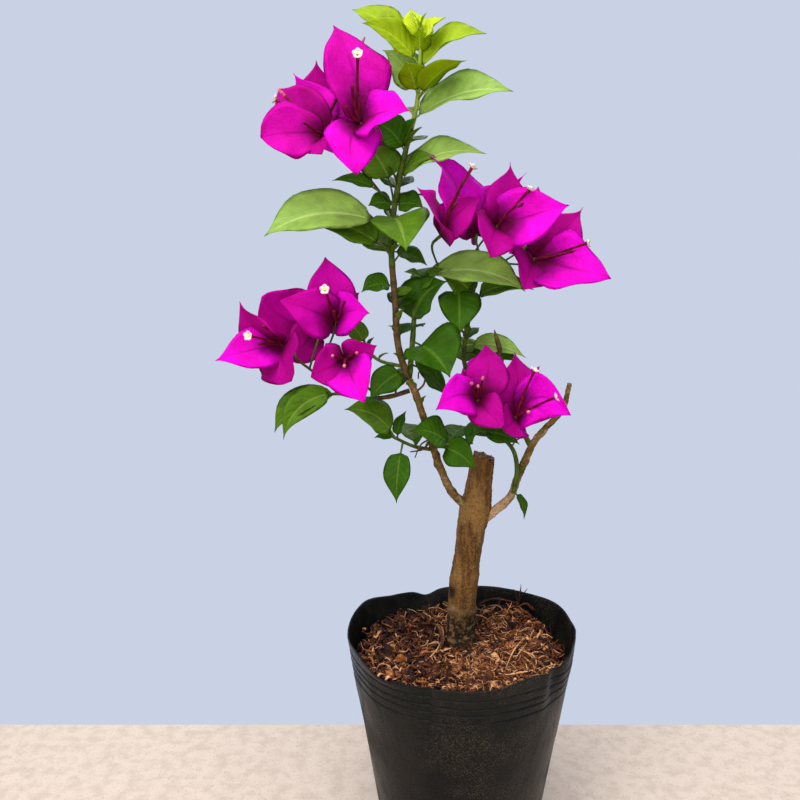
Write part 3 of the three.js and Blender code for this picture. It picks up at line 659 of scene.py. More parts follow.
def blade_faces(rows, columns):
    """Faces of a thin blade's top and of its underside, which share the vertices round the edge."""
    above = np.arange(rows * columns).reshape(rows, columns)
    below = above.copy()
    below[1:-1, 1:-1] = rows * columns + np.arange((rows - 2) * (columns - 2)).reshape(rows - 2, -1)
    tops = []
    unders = []
    for i in range(rows - 1):
        for j in range(columns - 1):
            tops.append((above[i, j], above[i, j + 1], above[i + 1, j + 1], above[i + 1, j]))
            unders.append((below[i, j], below[i + 1, j], below[i + 1, j + 1], below[i, j + 1]))
    return tops, unders


def on_both_sides(grid):
    """What a blade's vertices take from a grid over its top: all of it, then its inner part again."""
    return np.concatenate([grid.ravel(), grid[1:-1, 1:-1].ravel()])


def blade(middles, side, up, half, skin, fold, cup, ripple, phase, columns=9):
    """A thin closed blade: rows along the middles, columns across, folded by an angle along its
    midrib, its halves bowed down by cup, and its edges rippled by a share of the half width."""
    rows = len(middles)
    share, across = np.meshgrid(np.linspace(0, 1, rows), np.linspace(-1, 1, columns), indexing="ij")
    half = half[:, None]
    fold = math.radians(fold)
    away = np.sqrt(across ** 2 + 0.006) - math.sqrt(0.006)
    edge = np.sin(share * 13 + phase + across * 1.3) * across ** 2
    swell = np.sin(share * 7 + phase * 2 + across * 2.6) * np.abs(across) * 0.6
    lift = half * (away * math.sin(fold) - cup * away ** 2 + (edge + swell) * ripple)
    reach = half * across * math.cos(fold)
    top = middles[:, None] + side[:, None] * reach[..., None] + up[:, None] * lift[..., None]
    under = top[1:-1, 1:-1] - up[1:-1, None] * skin
    spots = np.vstack([top.reshape(-1, 3), under.reshape(-1, 3)])
    return spots, *blade_faces(rows, columns), on_both_sides(share), on_both_sides(across)


# Looks of each tone: a bract's in the order in which they take turns, a leaf's face and underside.
# A bract's tones are lit and shaded copies of one colour: partly painted light and shade, partly colour that
# differs from bract to bract.
BRACT_TONES = ["mid", "bright", "deep"]
# Where a row names a leaf's tone, the deep, fresh and pale tones are partly painted light and shade: paler
# for a leaf that looks lit, deeper for one in shade.
LEAF_TONES = {
    "deep": ["leaf_deep", "leaf_under"],
    "fresh": ["leaf_fresh", "leaf_under"],
    "pale": ["leaf_pale", "leaf_under_pale"],
    "lime": ["leaf_lime", "leaf_under_lime"],
    "bright": ["leaf_bright", "leaf_under_lime"],
}
YOUNG_TONES = ["lime", "bright", "pale"]


def turned_ups(ups, ahead, rolls):
    return np.array([spun(up, axis, roll) for up, axis, roll in zip(ups, ahead, rolls)])


def leaf(start, row, tone, chance):
    """One leaf: its petiole as a rod, and its blade. Returns both, with the tone it takes."""
    _, turn, rise, length, roll, own = row
    stalk = own.get("petiole", PETIOLE)
    droop = own.get("droop", LEAF_DROOP)
    chord = heading(turn, rise)
    up = square_to(UP, chord)
    hook = 1.0 + 0.5 * chance.next()
    petiole, _, _ = bent_path(start, chord, up, droop, np.linspace(0, stalk + 0.01, 6), length, hook)
    shares = np.linspace(stalk, 1, 15)
    middles, ahead, ups = bent_path(start, chord, up, droop, shares, length, hook)
    blade_share = (shares - stalk) / (1 - stalk)
    ups = turned_ups(ups, ahead, roll + (blade_share - 0.4) * LEAF_TWIST * (chance.next() - 0.5))
    side = np.cross(ahead, ups)
    width = outline(blade_share, LEAF_BLUNT, LEAF_SHARP, own.get("widest", LEAF_WIDEST))
    half = LEAF_HALF_WIDTH * length * own.get("breadth", 1) * width
    half = np.maximum(half, 0.4 - 0.28 * blade_share)
    fold = own.get("fold", LEAF_FOLD) + 8 * (chance.next() - 0.5)
    shape = blade(middles, side, ups, half, LEAF_SKIN, fold, cup=0.12 + 0.1 * chance.next(),
                  ripple=0.05 + 0.04 * chance.next(), phase=6.28 * chance.next())
    return petiole, shape, own.get("tone", tone)


def bract(start, axis, row, chance):
    """One papery bract that starts along its head's axis and flares away from it."""
    turn, rise, length, own = row
    chord = heading(turn, rise)
    up = square_to(axis, chord)
    shares = np.linspace(0, 1, 17)
    hook = 0.8 + 0.7 * chance.next()
    middles, ahead, ups = bent_path(start, chord, up, BRACT_FLARE, shares, length, hook)
    twist = (shares - 0.5) * BRACT_TWIST * (chance.next() - 0.5)
    ups = turned_ups(ups, ahead, own.get("roll", 0) + twist)
    side = np.cross(ahead, ups)
    bow = own.get("sweep", 0.05 * (chance.next() - 0.5)) * length * 4 * shares * (1 - shares)
    middles = middles + side * bow[:, None]
    width = outline(shares, BRACT_BLUNT, own.get("sharp", BRACT_SHARP), own.get("widest", BRACT_WIDEST))
    half = BRACT_HALF_WIDTH * length * own.get("breadth", 1) * width
    half = np.maximum(half, 0.5 - 0.38 * shares)
    return blade(middles, side, ups, half, BRACT_SKIN, BRACT_FOLD, cup=-0.1 + 0.22 * chance.next(),
                 ripple=0.08 + 0.06 * chance.next(), phase=6.28 * chance.next(), columns=11)


def turn_and_rise(direction):
    """The heading and rise of a unit direction, in degrees."""
    return math.degrees(math.atan2(direction[1], direction[0])), math.degrees(math.asin(direction[2]))


def even_bracts(turn, rise, spin, length):
    """Three bracts spread evenly round the way a head faces."""
    axis = heading(turn, rise)
    across = square_to(UP, axis)
    lift = math.radians(EVEN_BRACT["rise"])
    rows = []
    for step in (0, 120, 240):
        out = spun(across, axis, spin + step)
        chord = axis * math.sin(lift) + out * math.cos(lift)
        rows.append([*turn_and_rise(chord), length, {}])
    return rows


def default_flowers(axis, rows):
    """A head's three flowers where none are named: one by each bract, the first open."""
    flowers = []
    for number, row in enumerate(rows):
        ahead = unit(axis + heading(row[0], row[1]) * TUBE_LEAN)
        length = TUBE_LENGTH * 0.65 if number else TUBE_LENGTH
        flowers.append([*turn_and_rise(ahead), length, "bud" if number else "open"])
    return flowers


def star_faces(points):
    """Faces of a flower's open mouth, and the look of each: a pale yellow eye in a white star."""
    last = 1 + (len(STAR_RINGS) - 1) * points
    back = last + points
    faces = []
    looks = []
    for j in range(points):
        k = (j + 1) % points
        faces.append((0, 1 + j, 1 + k))
        looks.append("star_eye")
        for base in range(1, last, points):
            faces.append((base + j, base + points + j, base + points + k, base + k))
            looks.append("star")
        faces.append((last + j, back, last + k))
        looks.append("star")
    return faces, looks


def star(middle, axis, spin, radius):
    """The open mouth of a flower: a closed, five-lobed ruffled disc, a little cupped."""
    points = 30
    across = square_to(UP if abs(axis[2]) < 0.9 else np.array([1.0, 0, 0]), axis)
    other = np.cross(axis, across)
    angle = np.arange(points) * 2 * math.pi / points + spin
    lobes = 0.8 + 0.2 * np.abs(np.cos(angle * 2.5))
    spots = [middle + axis * 0.5]
    for share, lift in STAR_RINGS:
        reach = radius * share * (lobes if share > 0.5 else 1)
        ruffle = 0.25 * share * np.cos(angle * 5)
        circle = across * (np.cos(angle) * reach)[:, None] + other * (np.sin(angle) * reach)[:, None]
        spots.append(middle + circle + axis * (lift + ruffle)[:, None])
    spots.append(middle - axis * 0.6)
    return np.vstack(spots), *star_faces(points)


# Materials

# Pairs of side veins along a leaf, and how far they slant towards its tip.
VEIN_PAIRS = 7.5
VEIN_SLANT = 1.9
# The throat red is partly the bract's own dark red foot and partly painted shade in the throat, where the
# bracts close round the flowers. The glow red darkens the light let through there, which is painted shade
# too.
BRACT_REDS = {"lines": 0x8C0258, "throat_red_and_shade": 0x4E0219, "glow": 0x54031C}
# The share of the light that passes through a bract.
BRACT_GLOW = 0.32
BARK_STAIN = 0x120A05
POT_COLOURS = {"skin": 0x0A0B0B, "dust": 0x1E1B14, "scuffs": 0x26241E, "specks": 0x6E6044}
FLOOR_COLOURS = {"pale": 0xC4B3A4, "mottle": 0xB8A798, "flecks": 0x8A7C6E}
BACKGROUND = 0xC9D2E5


def linear(code):
    """The linear red, green and blue of a web colour code, with full cover."""
    channels = [((code >> shift) & 255) / 255 for shift in (16, 8, 0)]
    return [c / 12.92 if c <= 0.04045 else ((c + 0.055) / 1.055) ** 2.4 for c in channels] + [1.0]


class Looks:
    """One material's nodes, with short forms for the ones used here."""

    def __init__(self, name):
        self.material = bpy.data.materials.new(name)
        self.material.use_nodes = True
        self.tree = self.material.node_tree
        self.shader = self.tree.nodes["Principled BSDF"]
        self.output = self.tree.nodes["Material Output"]

    def node(self, kind, sockets=None, **settings):
        made = self.tree.nodes.new(kind)
        for key, value in settings.items():
            setattr(made, key, value)
        for key, value in (sockets or {}).items():
            self.put(made.inputs[key], value)
        return made

    def put(self, socket, value):
        if isinstance(value, bpy.types.NodeSocket):
            self.tree.links.new(value, socket)
        else:
            socket.default_value = value

    def mark(self, name):
        return self.node("ShaderNodeAttribute", attribute_name=name).outputs["Fac"]

    def maths(self, operation, a, b=0.0):
        made = self.node("ShaderNodeMath", operation=operation)
        self.put(made.inputs[0], a)
        self.put(made.inputs[1], b)
        return made.outputs[0]

    def times(self, a, b):
        return self.maths("MULTIPLY", a, b)

    def plus(self, a, b):
        return self.maths("ADD", a, b)

    def spread(self, value, low, high, to_low=0.0, to_high=1.0):
        made = self.node("ShaderNodeMapRange", interpolation_type="SMOOTHSTEP")
        for key, number in (("Value", value), ("From Min", low), ("From Max", high), ("To Min", to_low),
                            ("To Max", to_high)):
            self.put(made.inputs[key], number)
        return made.outputs[0]

    def mix(self, share, first, second):
        made = self.node("ShaderNodeMix", data_type="RGBA")
        self.put(made.inputs["Factor"], share)
        colours = [socket for socket in made.inputs if socket.type == "RGBA"]
        self.put(colours[0], first)
        self.put(colours[1], second)
        return next(socket for socket in made.outputs if socket.type == "RGBA")

    def over(self, under, share, code):
        """A colour laid over what is under it, as thick as share says."""
        return self.mix(share, under, linear(code))

    def places(self, scale=(1, 1, 1)):
        """Places on the object in its own frame, stretched by a scale."""
        where = self.node("ShaderNodeTexCoord").outputs["Object"]
        return self.node("ShaderNodeMapping", {"Vector": where, "Scale": scale}).outputs[0]

    def grain(self, size, detail=3.0, stretch=(1, 1, 1)):
        """Noise whose lumps are about size metres across."""
        return self.node("ShaderNodeTexNoise", {
            "Vector": self.places(stretch), "Scale": 1 / size, "Detail": detail, "Roughness": 0.55,
        }).outputs["Fac"]

    def bump(self, height, depth, strength=0.6):
        made = self.node("ShaderNodeBump", {"Height": height, "Distance": depth, "Strength": strength})
        self.put(self.shader.inputs["Normal"], made.outputs[0])
        return made.outputs[0]

    def finish(self, colour, roughness, specular):
        self.put(self.shader.inputs["Base Color"], colour)
        self.put(self.shader.inputs["Roughness"], roughness)
        self.put(self.shader.inputs["Specular IOR Level"], specular)
        return self.material

    def let_light_through(self, colour, share, normal):
        """Part of the light passes through, as in a thin leaf."""
        glow = self.node("ShaderNodeBsdfTranslucent", {"Color": colour, "Normal": normal})
        both = self.node("ShaderNodeMixShader", {0: share, 1: self.shader.outputs[0], 2: glow.outputs[0]})
        self.put(self.output.inputs["Surface"], both.outputs[0])


def leaf_look(name, colour, vein, glow, roughness=0.45, glow_share=0.25, raised=-1, specular=0.2):
    """A leaf's face: midrib and side veins by its marks, on a mottled base colour."""
    looks = Looks(name)
    run = looks.mark("run")
    over = looks.maths("ABSOLUTE", looks.mark("over"))
    slanted = looks.maths("SUBTRACT", looks.times(run, VEIN_PAIRS), looks.times(over, VEIN_SLANT))
    wave = looks.maths("ABSOLUTE", looks.maths("SUBTRACT", looks.maths("FRACT", slanted), 0.5))
    side_veins = looks.spread(wave, 0.4, 0.5)
    midrib = looks.spread(over, 0.1, 0.02)
    fade = looks.spread(over, 0.95, 0.4, 0.0, 0.34)
    veins = looks.maths("MAXIMUM", midrib, looks.times(side_veins, fade))
    mottle = looks.spread(looks.grain(0.009), 0.3, 0.7)
    darker = [channel * 0.7 for channel in linear(colour)[:3]] + [1.0]
    shade = looks.mix(mottle, linear(colour), darker)
    painted = looks.over(shade, looks.times(veins, 0.52), vein)
    pillows = looks.times(looks.spread(wave, 0.5, 0.0), 0.8)
    relief = looks.plus(looks.times(veins, raised), looks.grain(0.0012))
    normal = looks.bump(looks.plus(relief, pillows), 0.0003)
    looks.let_light_through(linear(glow), glow_share, normal)
    return looks.finish(painted, roughness, specular)


def bract_look(name, colour, shade, glow):
    """A papery bract: dark red at its foot, with painted shade in its throat and along the foot of its
    midrib, crumpled, with a fine net of veins.
    """
    looks = Looks(name)
    run = looks.mark("run")
    over = looks.mark("over")
    spread_out = looks.node("ShaderNodeCombineXYZ", {
        "X": looks.times(run, 5.0),
        "Y": looks.times(over, 3.4),
        "Z": looks.mark("number"),
    }).outputs[0]
    net = looks.node("ShaderNodeTexVoronoi", {"Vector": spread_out, "Scale": 2.2, "Randomness": 0.9},
                     feature="DISTANCE_TO_EDGE").outputs["Distance"]
    veins = looks.spread(net, 0.09, 0.0)
    from_middle = looks.maths("ABSOLUTE", over)
    midrib = looks.spread(from_middle, 0.09, 0.01)
    lines = looks.maths("MAXIMUM", midrib, looks.times(veins, 0.7))
    # Painted shade: the throat, where the bracts close round the flowers, and a streak along the foot of the
    # midrib are darkened over the bract's own dark red foot.
    tongue = looks.plus(run, looks.times(from_middle, 0.26))
    throat_red_and_shade = looks.spread(looks.plus(tongue, looks.times(looks.grain(0.004), 0.2)), 0.68, 0.26)
    streaks = looks.times(looks.spread(run, 0.75, 0.15), midrib)
    dark = looks.maths("MAXIMUM", throat_red_and_shade, looks.times(streaks, 0.85))
    soft = looks.spread(looks.grain(0.012), 0.35, 0.65)
    painted = looks.over(linear(colour), soft, shade)
    painted = looks.over(painted, looks.times(lines, 0.34), BRACT_REDS["lines"])
    painted = looks.over(painted, looks.times(dark, 0.92), BRACT_REDS["throat_red_and_shade"])
    # The light let through is darkened at the throat as well, as painted shade.
    glow_darkened_at_throat = looks.over(linear(glow), looks.times(dark, 0.9), BRACT_REDS["glow"])
    crumple = looks.plus(looks.grain(0.011, 2.0), looks.times(lines, -0.1))
    normal = looks.bump(crumple, 0.0016, 0.7)
    looks.let_light_through(glow_darkened_at_throat, BRACT_GLOW, normal)
    return looks.finish(painted, 0.7, 0.06)


def plain_look(name, colour, darker, roughness, size, depth=0.0003, specular=0.3):
    """A base colour mottled towards a darker one, with fine relief."""
    looks = Looks(name)
    painted = looks.over(linear(colour), looks.spread(looks.grain(size), 0.35, 0.65), darker)
    looks.bump(looks.grain(size / 3), depth)
    return looks.finish(painted, roughness, specular)


def bark_look(name, browns, ring):
    """Bark: long streaks, fine cross grain and flecks in browns, with marks for stains and rings."""
    looks = Looks(name)
    light, dark, warm, deep = browns
    streaks = looks.grain(0.0032, 6.0, (1, 1, 0.2))
    across = looks.grain(0.0014, 4.0, (0.5, 0.5, 1.6))
    flecks = looks.grain(0.0013, 3.0, (1, 1, 0.5))
    clouds = looks.grain(0.014, 4.0, (1, 1, 0.6))
    sparks = looks.grain(0.0009, 3.0, (1, 1, 0.7))
    shade = linear(light)
    for grain, low, high, thick, brown in (
        (streaks, 0.4, 0.6, 1, dark),
        (clouds, 0.46, 0.62, 0.75, warm),
        (across, 0.52, 0.66, 0.45, dark),
        (flecks, 0.5, 0.72, 0.5, deep),
        (sparks, 0.52, 0.7, 0.6, warm),
    ):
        shade = looks.over(shade, looks.spread(grain, low, high, 0, thick), brown)
    shade = looks.over(shade, looks.mark("pale"), ring)
    shade = looks.over(shade, looks.mark("stain"), BARK_STAIN)
    looks.bump(looks.plus(streaks, looks.plus(looks.times(flecks, 0.7), across)), 0.0012, 1.0)
    return looks.finish(shade, 0.85, 0.15)


def pot_look():
    """Thin black plastic with a soft shine, dull with dust and flecked with specks of soil."""
    looks = Looks("pot_plastic")
    dust = looks.spread(looks.grain(0.028, 5.0), 0.45, 0.7)
    scuffs = looks.spread(looks.grain(0.006, 5.0, (1, 1, 0.35)), 0.5, 0.75)
    specks = looks.spread(looks.grain(0.0007, 5.0), 0.5, 0.7)
    patches = looks.spread(looks.grain(0.022, 3.0), 0.4, 0.6)
    across = looks.node("ShaderNodeSeparateXYZ", {"Vector": looks.places()}).outputs["X"]
    splashed = looks.times(patches, looks.spread(across, -0.03, -0.012, 0.15, 1.0))
    shade = looks.over(linear(POT_COLOURS["skin"]), looks.times(dust, 0.6), POT_COLOURS["dust"])
    shade = looks.over(shade, looks.times(scuffs, 0.3), POT_COLOURS["scuffs"])
    shade = looks.over(shade, looks.times(looks.times(specks, splashed), 0.4), POT_COLOURS["specks"])
    roughness = looks.spread(looks.plus(dust, looks.times(scuffs, 0.6)), 0.0, 1.4, 0.32, 0.6)
    looks.bump(looks.plus(looks.grain(0.013, 4.0, (1, 1, 0.6)), looks.times(specks, 0.2)), 0.0012, 0.55)
    return looks.finish(shade, roughness, 0.13)


def make_materials():
    made = [
        leaf_look("leaf_deep", 0x38610A, 0x64862C, 0x689410, specular=0.07),
        leaf_look("leaf_fresh", 0x567C12, 0x8EA444, 0x86AC14, specular=0.1),
        leaf_look("leaf_pale", 0x90B04A, 0xBED080, 0xB4D650),
        leaf_look("leaf_lime", 0x96AE0A, 0xBCCC38, 0xC0D60E, 0.5, 0.32, specular=0.12),
        leaf_look("leaf_bright", 0xD2E424, 0xE2EC60, 0xE4F62C, 0.5, 0.38, specular=0.12),
        leaf_look("leaf_under", 0x64781E, 0x8E9C4C, 0x76941A, 0.9, 0.25, 1, 0.0),
        leaf_look("leaf_under_pale", 0x9CBA5C, 0xBCD080, 0xC4E46C, 0.9, 0.3, 1, 0.0),
        leaf_look("leaf_under_lime", 0x8EA00E, 0xB8C848, 0xBCD40E, 0.9, 0.32, 1, 0.0),
        # Lit and shaded copies of the bract colour: the bright, mid and deep tones are partly painted light
        # and shade.
        bract_look("bract_bright", 0xE604D0, 0xD803B4, 0xF408DC),
        bract_look("bract_mid", 0xCE03A8, 0xBE0292, 0xE606BC),
        bract_look("bract_deep", 0xBC0292, 0xA6027E, 0xDC04A8),
        plain_look("flower_tube", 0x74062C, 0x48041A, 0.6, 0.002, 0.0003, 0.15),
        plain_look("flower_bud", 0xD07C80, 0xA03C58, 0.6, 0.002, 0.0003, 0.15),
        plain_look("star", 0xDCCFC4, 0xC8B4A4, 0.7, 0.002),
        plain_look("star_eye", 0xE8D870, 0xC8B040, 0.6, 0.001),
        plain_look("twig_green", 0x4A5A16, 0x32400E, 0.7, 0.004, specular=0.15),
        plain_look("twig_lime", 0x8A9E2C, 0x6A7E20, 0.55, 0.004),
        plain_look("twig_brown", 0x5A4320, 0x36280F, 0.8, 0.003, 0.0006),
        bark_look("stump_bark", [0x765026, 0x523518, 0x8E6A3A, 0x2C1B0E], 0x877A60),
        bark_look("bough_skin", [0x745628, 0x54401C, 0x846A3A, 0x34260F], 0xC8A27C),
        plain_look("cut_wood", 0xC29A82, 0x7A5240, 0.9, 0.0016, 0.0012, 0.1),
        pot_look(),
        plain_look("mix_dark", 0x170B07, 0x090403, 0.95, 0.004, 0.0012, 0.1),
        plain_look("chip_dark", 0x2C130B, 0x170A06, 0.85, 0.002, 0.0006, 0.2),
        plain_look("chip_plum", 0x52302A, 0x301813, 0.85, 0.002, 0.0006, 0.2),
        plain_look("chip_brown", 0x643214, 0x3E1C0D, 0.8, 0.002, 0.0006, 0.2),
        plain_look("chip_tan", 0x9C6032, 0x6E3A1C, 0.8, 0.002, 0.0005, 0.2),
        plain_look("chip_pale", 0xD6A274, 0xAA7242, 0.8, 0.002, 0.0004, 0.2),
    ]
    return {material.name: material for material in made}


# The plant's pieces

class Crown:
    """Gathers leaves, twigs, bracts and flowers, and knows what is already in place."""

    def __init__(self):
        tones = sorted({look for pair in LEAF_TONES.values() for look in pair})
        self.leaves = Piece("leaves", tones, ["run", "over"])
        self.twigs = Piece("twigs", ["twig_green", "twig_lime", "twig_brown"])
        self.bracts = Piece("bracts", ["bract_bright", "bract_mid", "bract_deep"], ["run", "over", "number"])
        self.flowers = Piece("flowers", ["flower_tube", "flower_bud", "star", "star_eye"])
        self.trees = []
        self.heads = 0

    def keep_clear_of(self, spots, faces):
        self.trees.append(BVHTree.FromPolygons([Vector(s) for s in spots], faces))

    def free(self, spots, faces):
        tree = BVHTree.FromPolygons([Vector(s) for s in spots], faces)
        return not any(tree.overlap(other) for other in self.trees)

    def add_leaf(self, start, row, tone, chance, must_be_free=False):
        petiole, (spots, tops, unders, run, over), tone = leaf(start, row, tone, chance)
        if must_be_free and not self.free(spots, tops):
            return
        top_look, under_look = LEAF_TONES[tone]
        looks = [top_look] * len(tops) + [under_look] * len(unders)
        self.leaves.add(spots, tops + unders, looks, run=run, over=over)
        self.keep_clear_of(spots, tops)
        slim = np.linspace(1.3, 0.9, len(petiole)) * PETIOLE_RADIUS
        twig = "twig_lime" if tone in YOUNG_TONES else "twig_green"
        self.twigs.add(*rod(petiole, slim, 6), twig)

    def add_stem(self, line, radii, part, look):
        rings = max(int(line.length * (part[1] - part[0]) / 2.5), 6)
        shares = np.linspace(part[0], part[1], rings)
        swell = 1 + 0.12 * np.sin(shares * 61) ** 8
        self.twigs.add(*rod(line.at(shares), along(radii, shares) * swell, 9), look)

    def add_pedicel(self, root, start, axis):
        """The thin stalk that carries a head and widens where its bracts join."""
        pedicel = Line([root, start - axis * PEDICEL_RUN, start + axis * 0.8])
        shares = np.linspace(0, 1, 12)
        thick = along([1, 0.9, 1, 1.7], shares) * PEDICEL_RADIUS
        self.twigs.add(*rod(pedicel.at(shares), thick, 7), "twig_green")

    def add_bract(self, start, axis, row, number, chance):
        spots, tops, unders, run, over = bract(start, axis, row, chance)
        # The tone paints in part of the light and shade on a bract: bright for a face turned to the light,
        # deep for one in shade.
        tone = row[3].get("tone", BRACT_TONES[(self.heads + number) % 3])
        marks = {"run": run, "over": over, "number": self.heads * 3.0 + number}
        self.bracts.add(spots, tops + unders, "bract_" + tone, **marks)
        self.keep_clear_of(spots, tops)

    def add_head(self, stalk, head, chance):
        """A head of blossom: its stalk, its bracts and the flowers between them."""
        start = np.array(head["spot"], float)
        axis = heading(*head["faces"])
        self.add_pedicel(stalk.at(head["at"]), start, axis)
        rows = head.get("bracts")
        if not rows:
            rows = even_bracts(*head["faces"], head["spin"], head.get("length", EVEN_BRACT["length"]))
        for number, row in enumerate(rows):
            self.add_bract(start, axis, row, number, chance)
        for flower in head.get("flowers") or default_flowers(axis, rows):
            self.add_flower(start, axis, flower, chance)
        self.heads += 1

    def add_flower(self, start, axis, flower, chance):
        """A slender tube that swells near its foot and either opens into a star or stays a bud."""
        turn, rise, length, state, *mouth = flower
        ahead = heading(turn, rise)
        bow = square_to(axis, ahead) * -1.2 if abs(np.dot(axis, ahead)) < 0.98 else UP * 0.5
        shares = np.linspace(0, 1, TUBE_RINGS)
        spots = start + ahead * (shares * length)[:, None] + bow * np.sin(shares * math.pi)[:, None]
        is_open = state == "open"
        radii = along([0.8, 1.25, 1.3, 1.0, 0.85, 0.9, 1.3 if is_open else 1.5], shares) * TUBE_RADIUS
        if not is_open:
            radii[-1] *= 0.35
        solid, faces = rod(spots, radii, TUBE_SIDES)
        tip = (TUBE_RINGS - 2) * TUBE_SIDES
        looks = ["flower_bud" if state == "bud" and max(face) >= tip else "flower_tube" for face in faces]
        self.flowers.add(solid, faces, looks)
        if is_open:
            facing = heading(*mouth) if mouth else unit(ahead * 0.5 + axis)
            self.flowers.add(*star(spots[-1], facing, chance.next() * 6, STAR_RADIUS))

    def add_loose_twigs(self):
        chance = Seeded(SEEDS["loose"])
        shares = np.linspace(0, 1, 24)
        for spine, radii, look in LOOSE_TWIGS:
            self.twigs.add(*rod(Line(spine).at(shares), along(radii, shares), 8), look)
        for root, *row in LOOSE_LEAVES:
            self.add_leaf(np.array(root, float), [0, *row], "deep", chance)


def back_leaves(count, seed, part):
    """Leaves that grow away from the viewer, spread evenly along their shoot."""
    chance = Seeded(seed)
    rows = []
    for i in range(count):
        share = (i + 0.3 + 0.4 * chance.next()) / count
        rows.append([
            part[0] + (part[1] - part[0]) * share,
            90 + 80 * (chance.next() - 0.5),
            5 + 25 * chance.next(),
            27 + 14 * chance.next(),
            40 * (chance.next() - 0.5),
            {},
        ])
    return rows


def young_leaves(count, seed, part):
    """Short new leaves in the joints of a shoot, on every side."""
    chance = Seeded(seed)
    rows = []
    for _ in range(count):
        rows.append([
            part[0] + (part[1] - part[0]) * chance.next(),
            360 * chance.next(),
            20 + 50 * chance.next(),
            6 + 7 * chance.next(),
            60 * (chance.next() - 0.5),
            {"breadth": 0.7, "fold": 34},
        ])
    return rows


def grow_cluster(crown, cluster, chance):
    stalk = Line(cluster["stalk"])
    crown.add_stem(stalk, STALK_RADII, [0, 1], "twig_brown")
    for head in cluster["heads"]:
        crown.add_head(stalk, head, chance)


def grow_shoot(crown, shoot, chance, young_seed):
    """A shoot with its named leaves, and then those of its others that touch nothing."""
    line = Line(shoot["spine"])
    part = shoot.get("part", [0, 1])
    tone = shoot.get("tone")
    crown.add_stem(line, shoot["radii"], part, shoot.get("stem", "twig_lime" if tone else "twig_green"))
    for row in shoot["leaves"]:
        crown.add_leaf(line.at(row[0]), row, tone or "deep", chance)
    young = young_leaves(int(line.length * (part[1] - part[0]) / YOUNG_LEAF_EVERY), young_seed, part)
    for row in back_leaves(*shoot["back"], part) + young:
        own_tone = tone or ("deep" if chance.next() < 0.6 else "fresh")
        crown.add_leaf(line.at(row[0]), row, own_tone, chance, must_be_free=True)


def grow_crown():
    crown = Crown()
    for number, cluster in enumerate(CLUSTERS.values()):
        grow_cluster(crown, cluster, Seeded(SEEDS["clusters"] + number))
    for number, shoot in enumerate(SHOOTS.values()):
        grow_shoot(crown, shoot, Seeded(SEEDS["shoots"] + number), SEEDS["young"] + number)
    crown.add_loose_twigs()
    return crown


def limb_spots(limb, rings, sides, relief):
    """Rings of a limb whose surface is moved out by relief(spot, share, angle)."""
    line = Line(limb["spine"])
    shares = np.linspace(0, 1, rings)
    spots = line.at(shares)
    side, up = frames_along(spots)
    radii = along(limb["radii"], shares)
    rows = []
    for i in range(rings):
        for j in range(sides):
            angle = j * 2 * math.pi / sides
            out = side[i] * math.cos(angle) + up[i] * math.sin(angle)
            rows.append(spots[i] + out * (radii[i] + relief(spots[i] + out * radii[i], shares[i], angle)))
    return spots, np.array(rows)


def ring_bulge(spot, ring):
    """An old leaf ring round the stump: it wanders up and down and comes and goes."""
    height, width, bulge = ring
    turn = math.atan2(spot[1] - FOOT_OF_TRUNK[1], spot[0] - FOOT_OF_TRUNK[0])
    wander = 1.1 * math.sin(turn * 2 + height) + 0.5 * math.sin(turn * 5 + 2 * height)
    strength = 0.65 + 0.35 * math.sin(turn * 3 + height * 1.7)
    return bulge * strength * bell(spot[2] - wander, height, width)


def trunk_relief(spot, _share, _angle):
    x, y, z = spot
    ridges = 0.5 * rough(x, y, z * 0.22, 3.0) + 0.22 * rough(x, y, z * 0.5, 1.3)
    lumps = 0.45 * rough(x, y, z, 11)
    rings = sum(ring_bulge(spot, ring) for ring in TRUNK_RINGS)
    swells = sum(depth * bell(z, height, width) for height, width, depth in TRUNK_SWELLS)
    return ridges + lumps + rings + swells


def rough_cut(skin, middle, sides):
    """The stump's sawn top: its edge is roughened in place, and rings close in on the middle."""
    edge = skin[-sides:]
    for row in edge:
        row += UP * (1.1 * rough(*row, 2.4) - 0.18 * (row[0] - middle[0]))
    lid = []
    for ring in range(1, CUT_RINGS):
        share = 1 - ring / CUT_RINGS
        for row in edge:
            spot = middle + (row - middle) * share
            lid.append(spot + UP * (1.2 * rough(*spot, 1.7) - 0.4 * (1 - share)))
    return lid


def trunk_marks(spots):
    """Dark stains low down, in a band and round the knot, and paler leaf rings and foot."""
    z = spots[:, 2]
    wet = np.array([rough(*spot, 3.2) + 0.5 * rough(*spot, 1.2) for spot in spots])
    low = smooth(142, 122, z) * smooth(-0.3, 0.15, wet)
    band = bell(z, 129, 5.5) * smooth(-0.5, 0.2, wet)
    away = (spots - np.array(TRUNK_KNOT["spot"])) / np.array(TRUNK_KNOT["reach"])
    knot = np.exp(-(away ** 2).sum(axis=1))
    stain = low * 0.9 + band * 0.9 + knot * 1.7 + 0.22 * smooth(158, 128, z)
    low_rings = TRUNK_RINGS[:2]
    rings = np.array([sum(ring_bulge(spot, ring) / ring[2] for ring in low_rings) for spot in spots])
    pale = rings * 0.5 * smooth(-0.9, 0.3, wet) + smooth(136, 128, z) * 0.25 * smooth(0, -0.4, wet)
    return {"stain": np.clip(stain, 0, 0.9), "pale": np.clip(pale, 0, 1)}


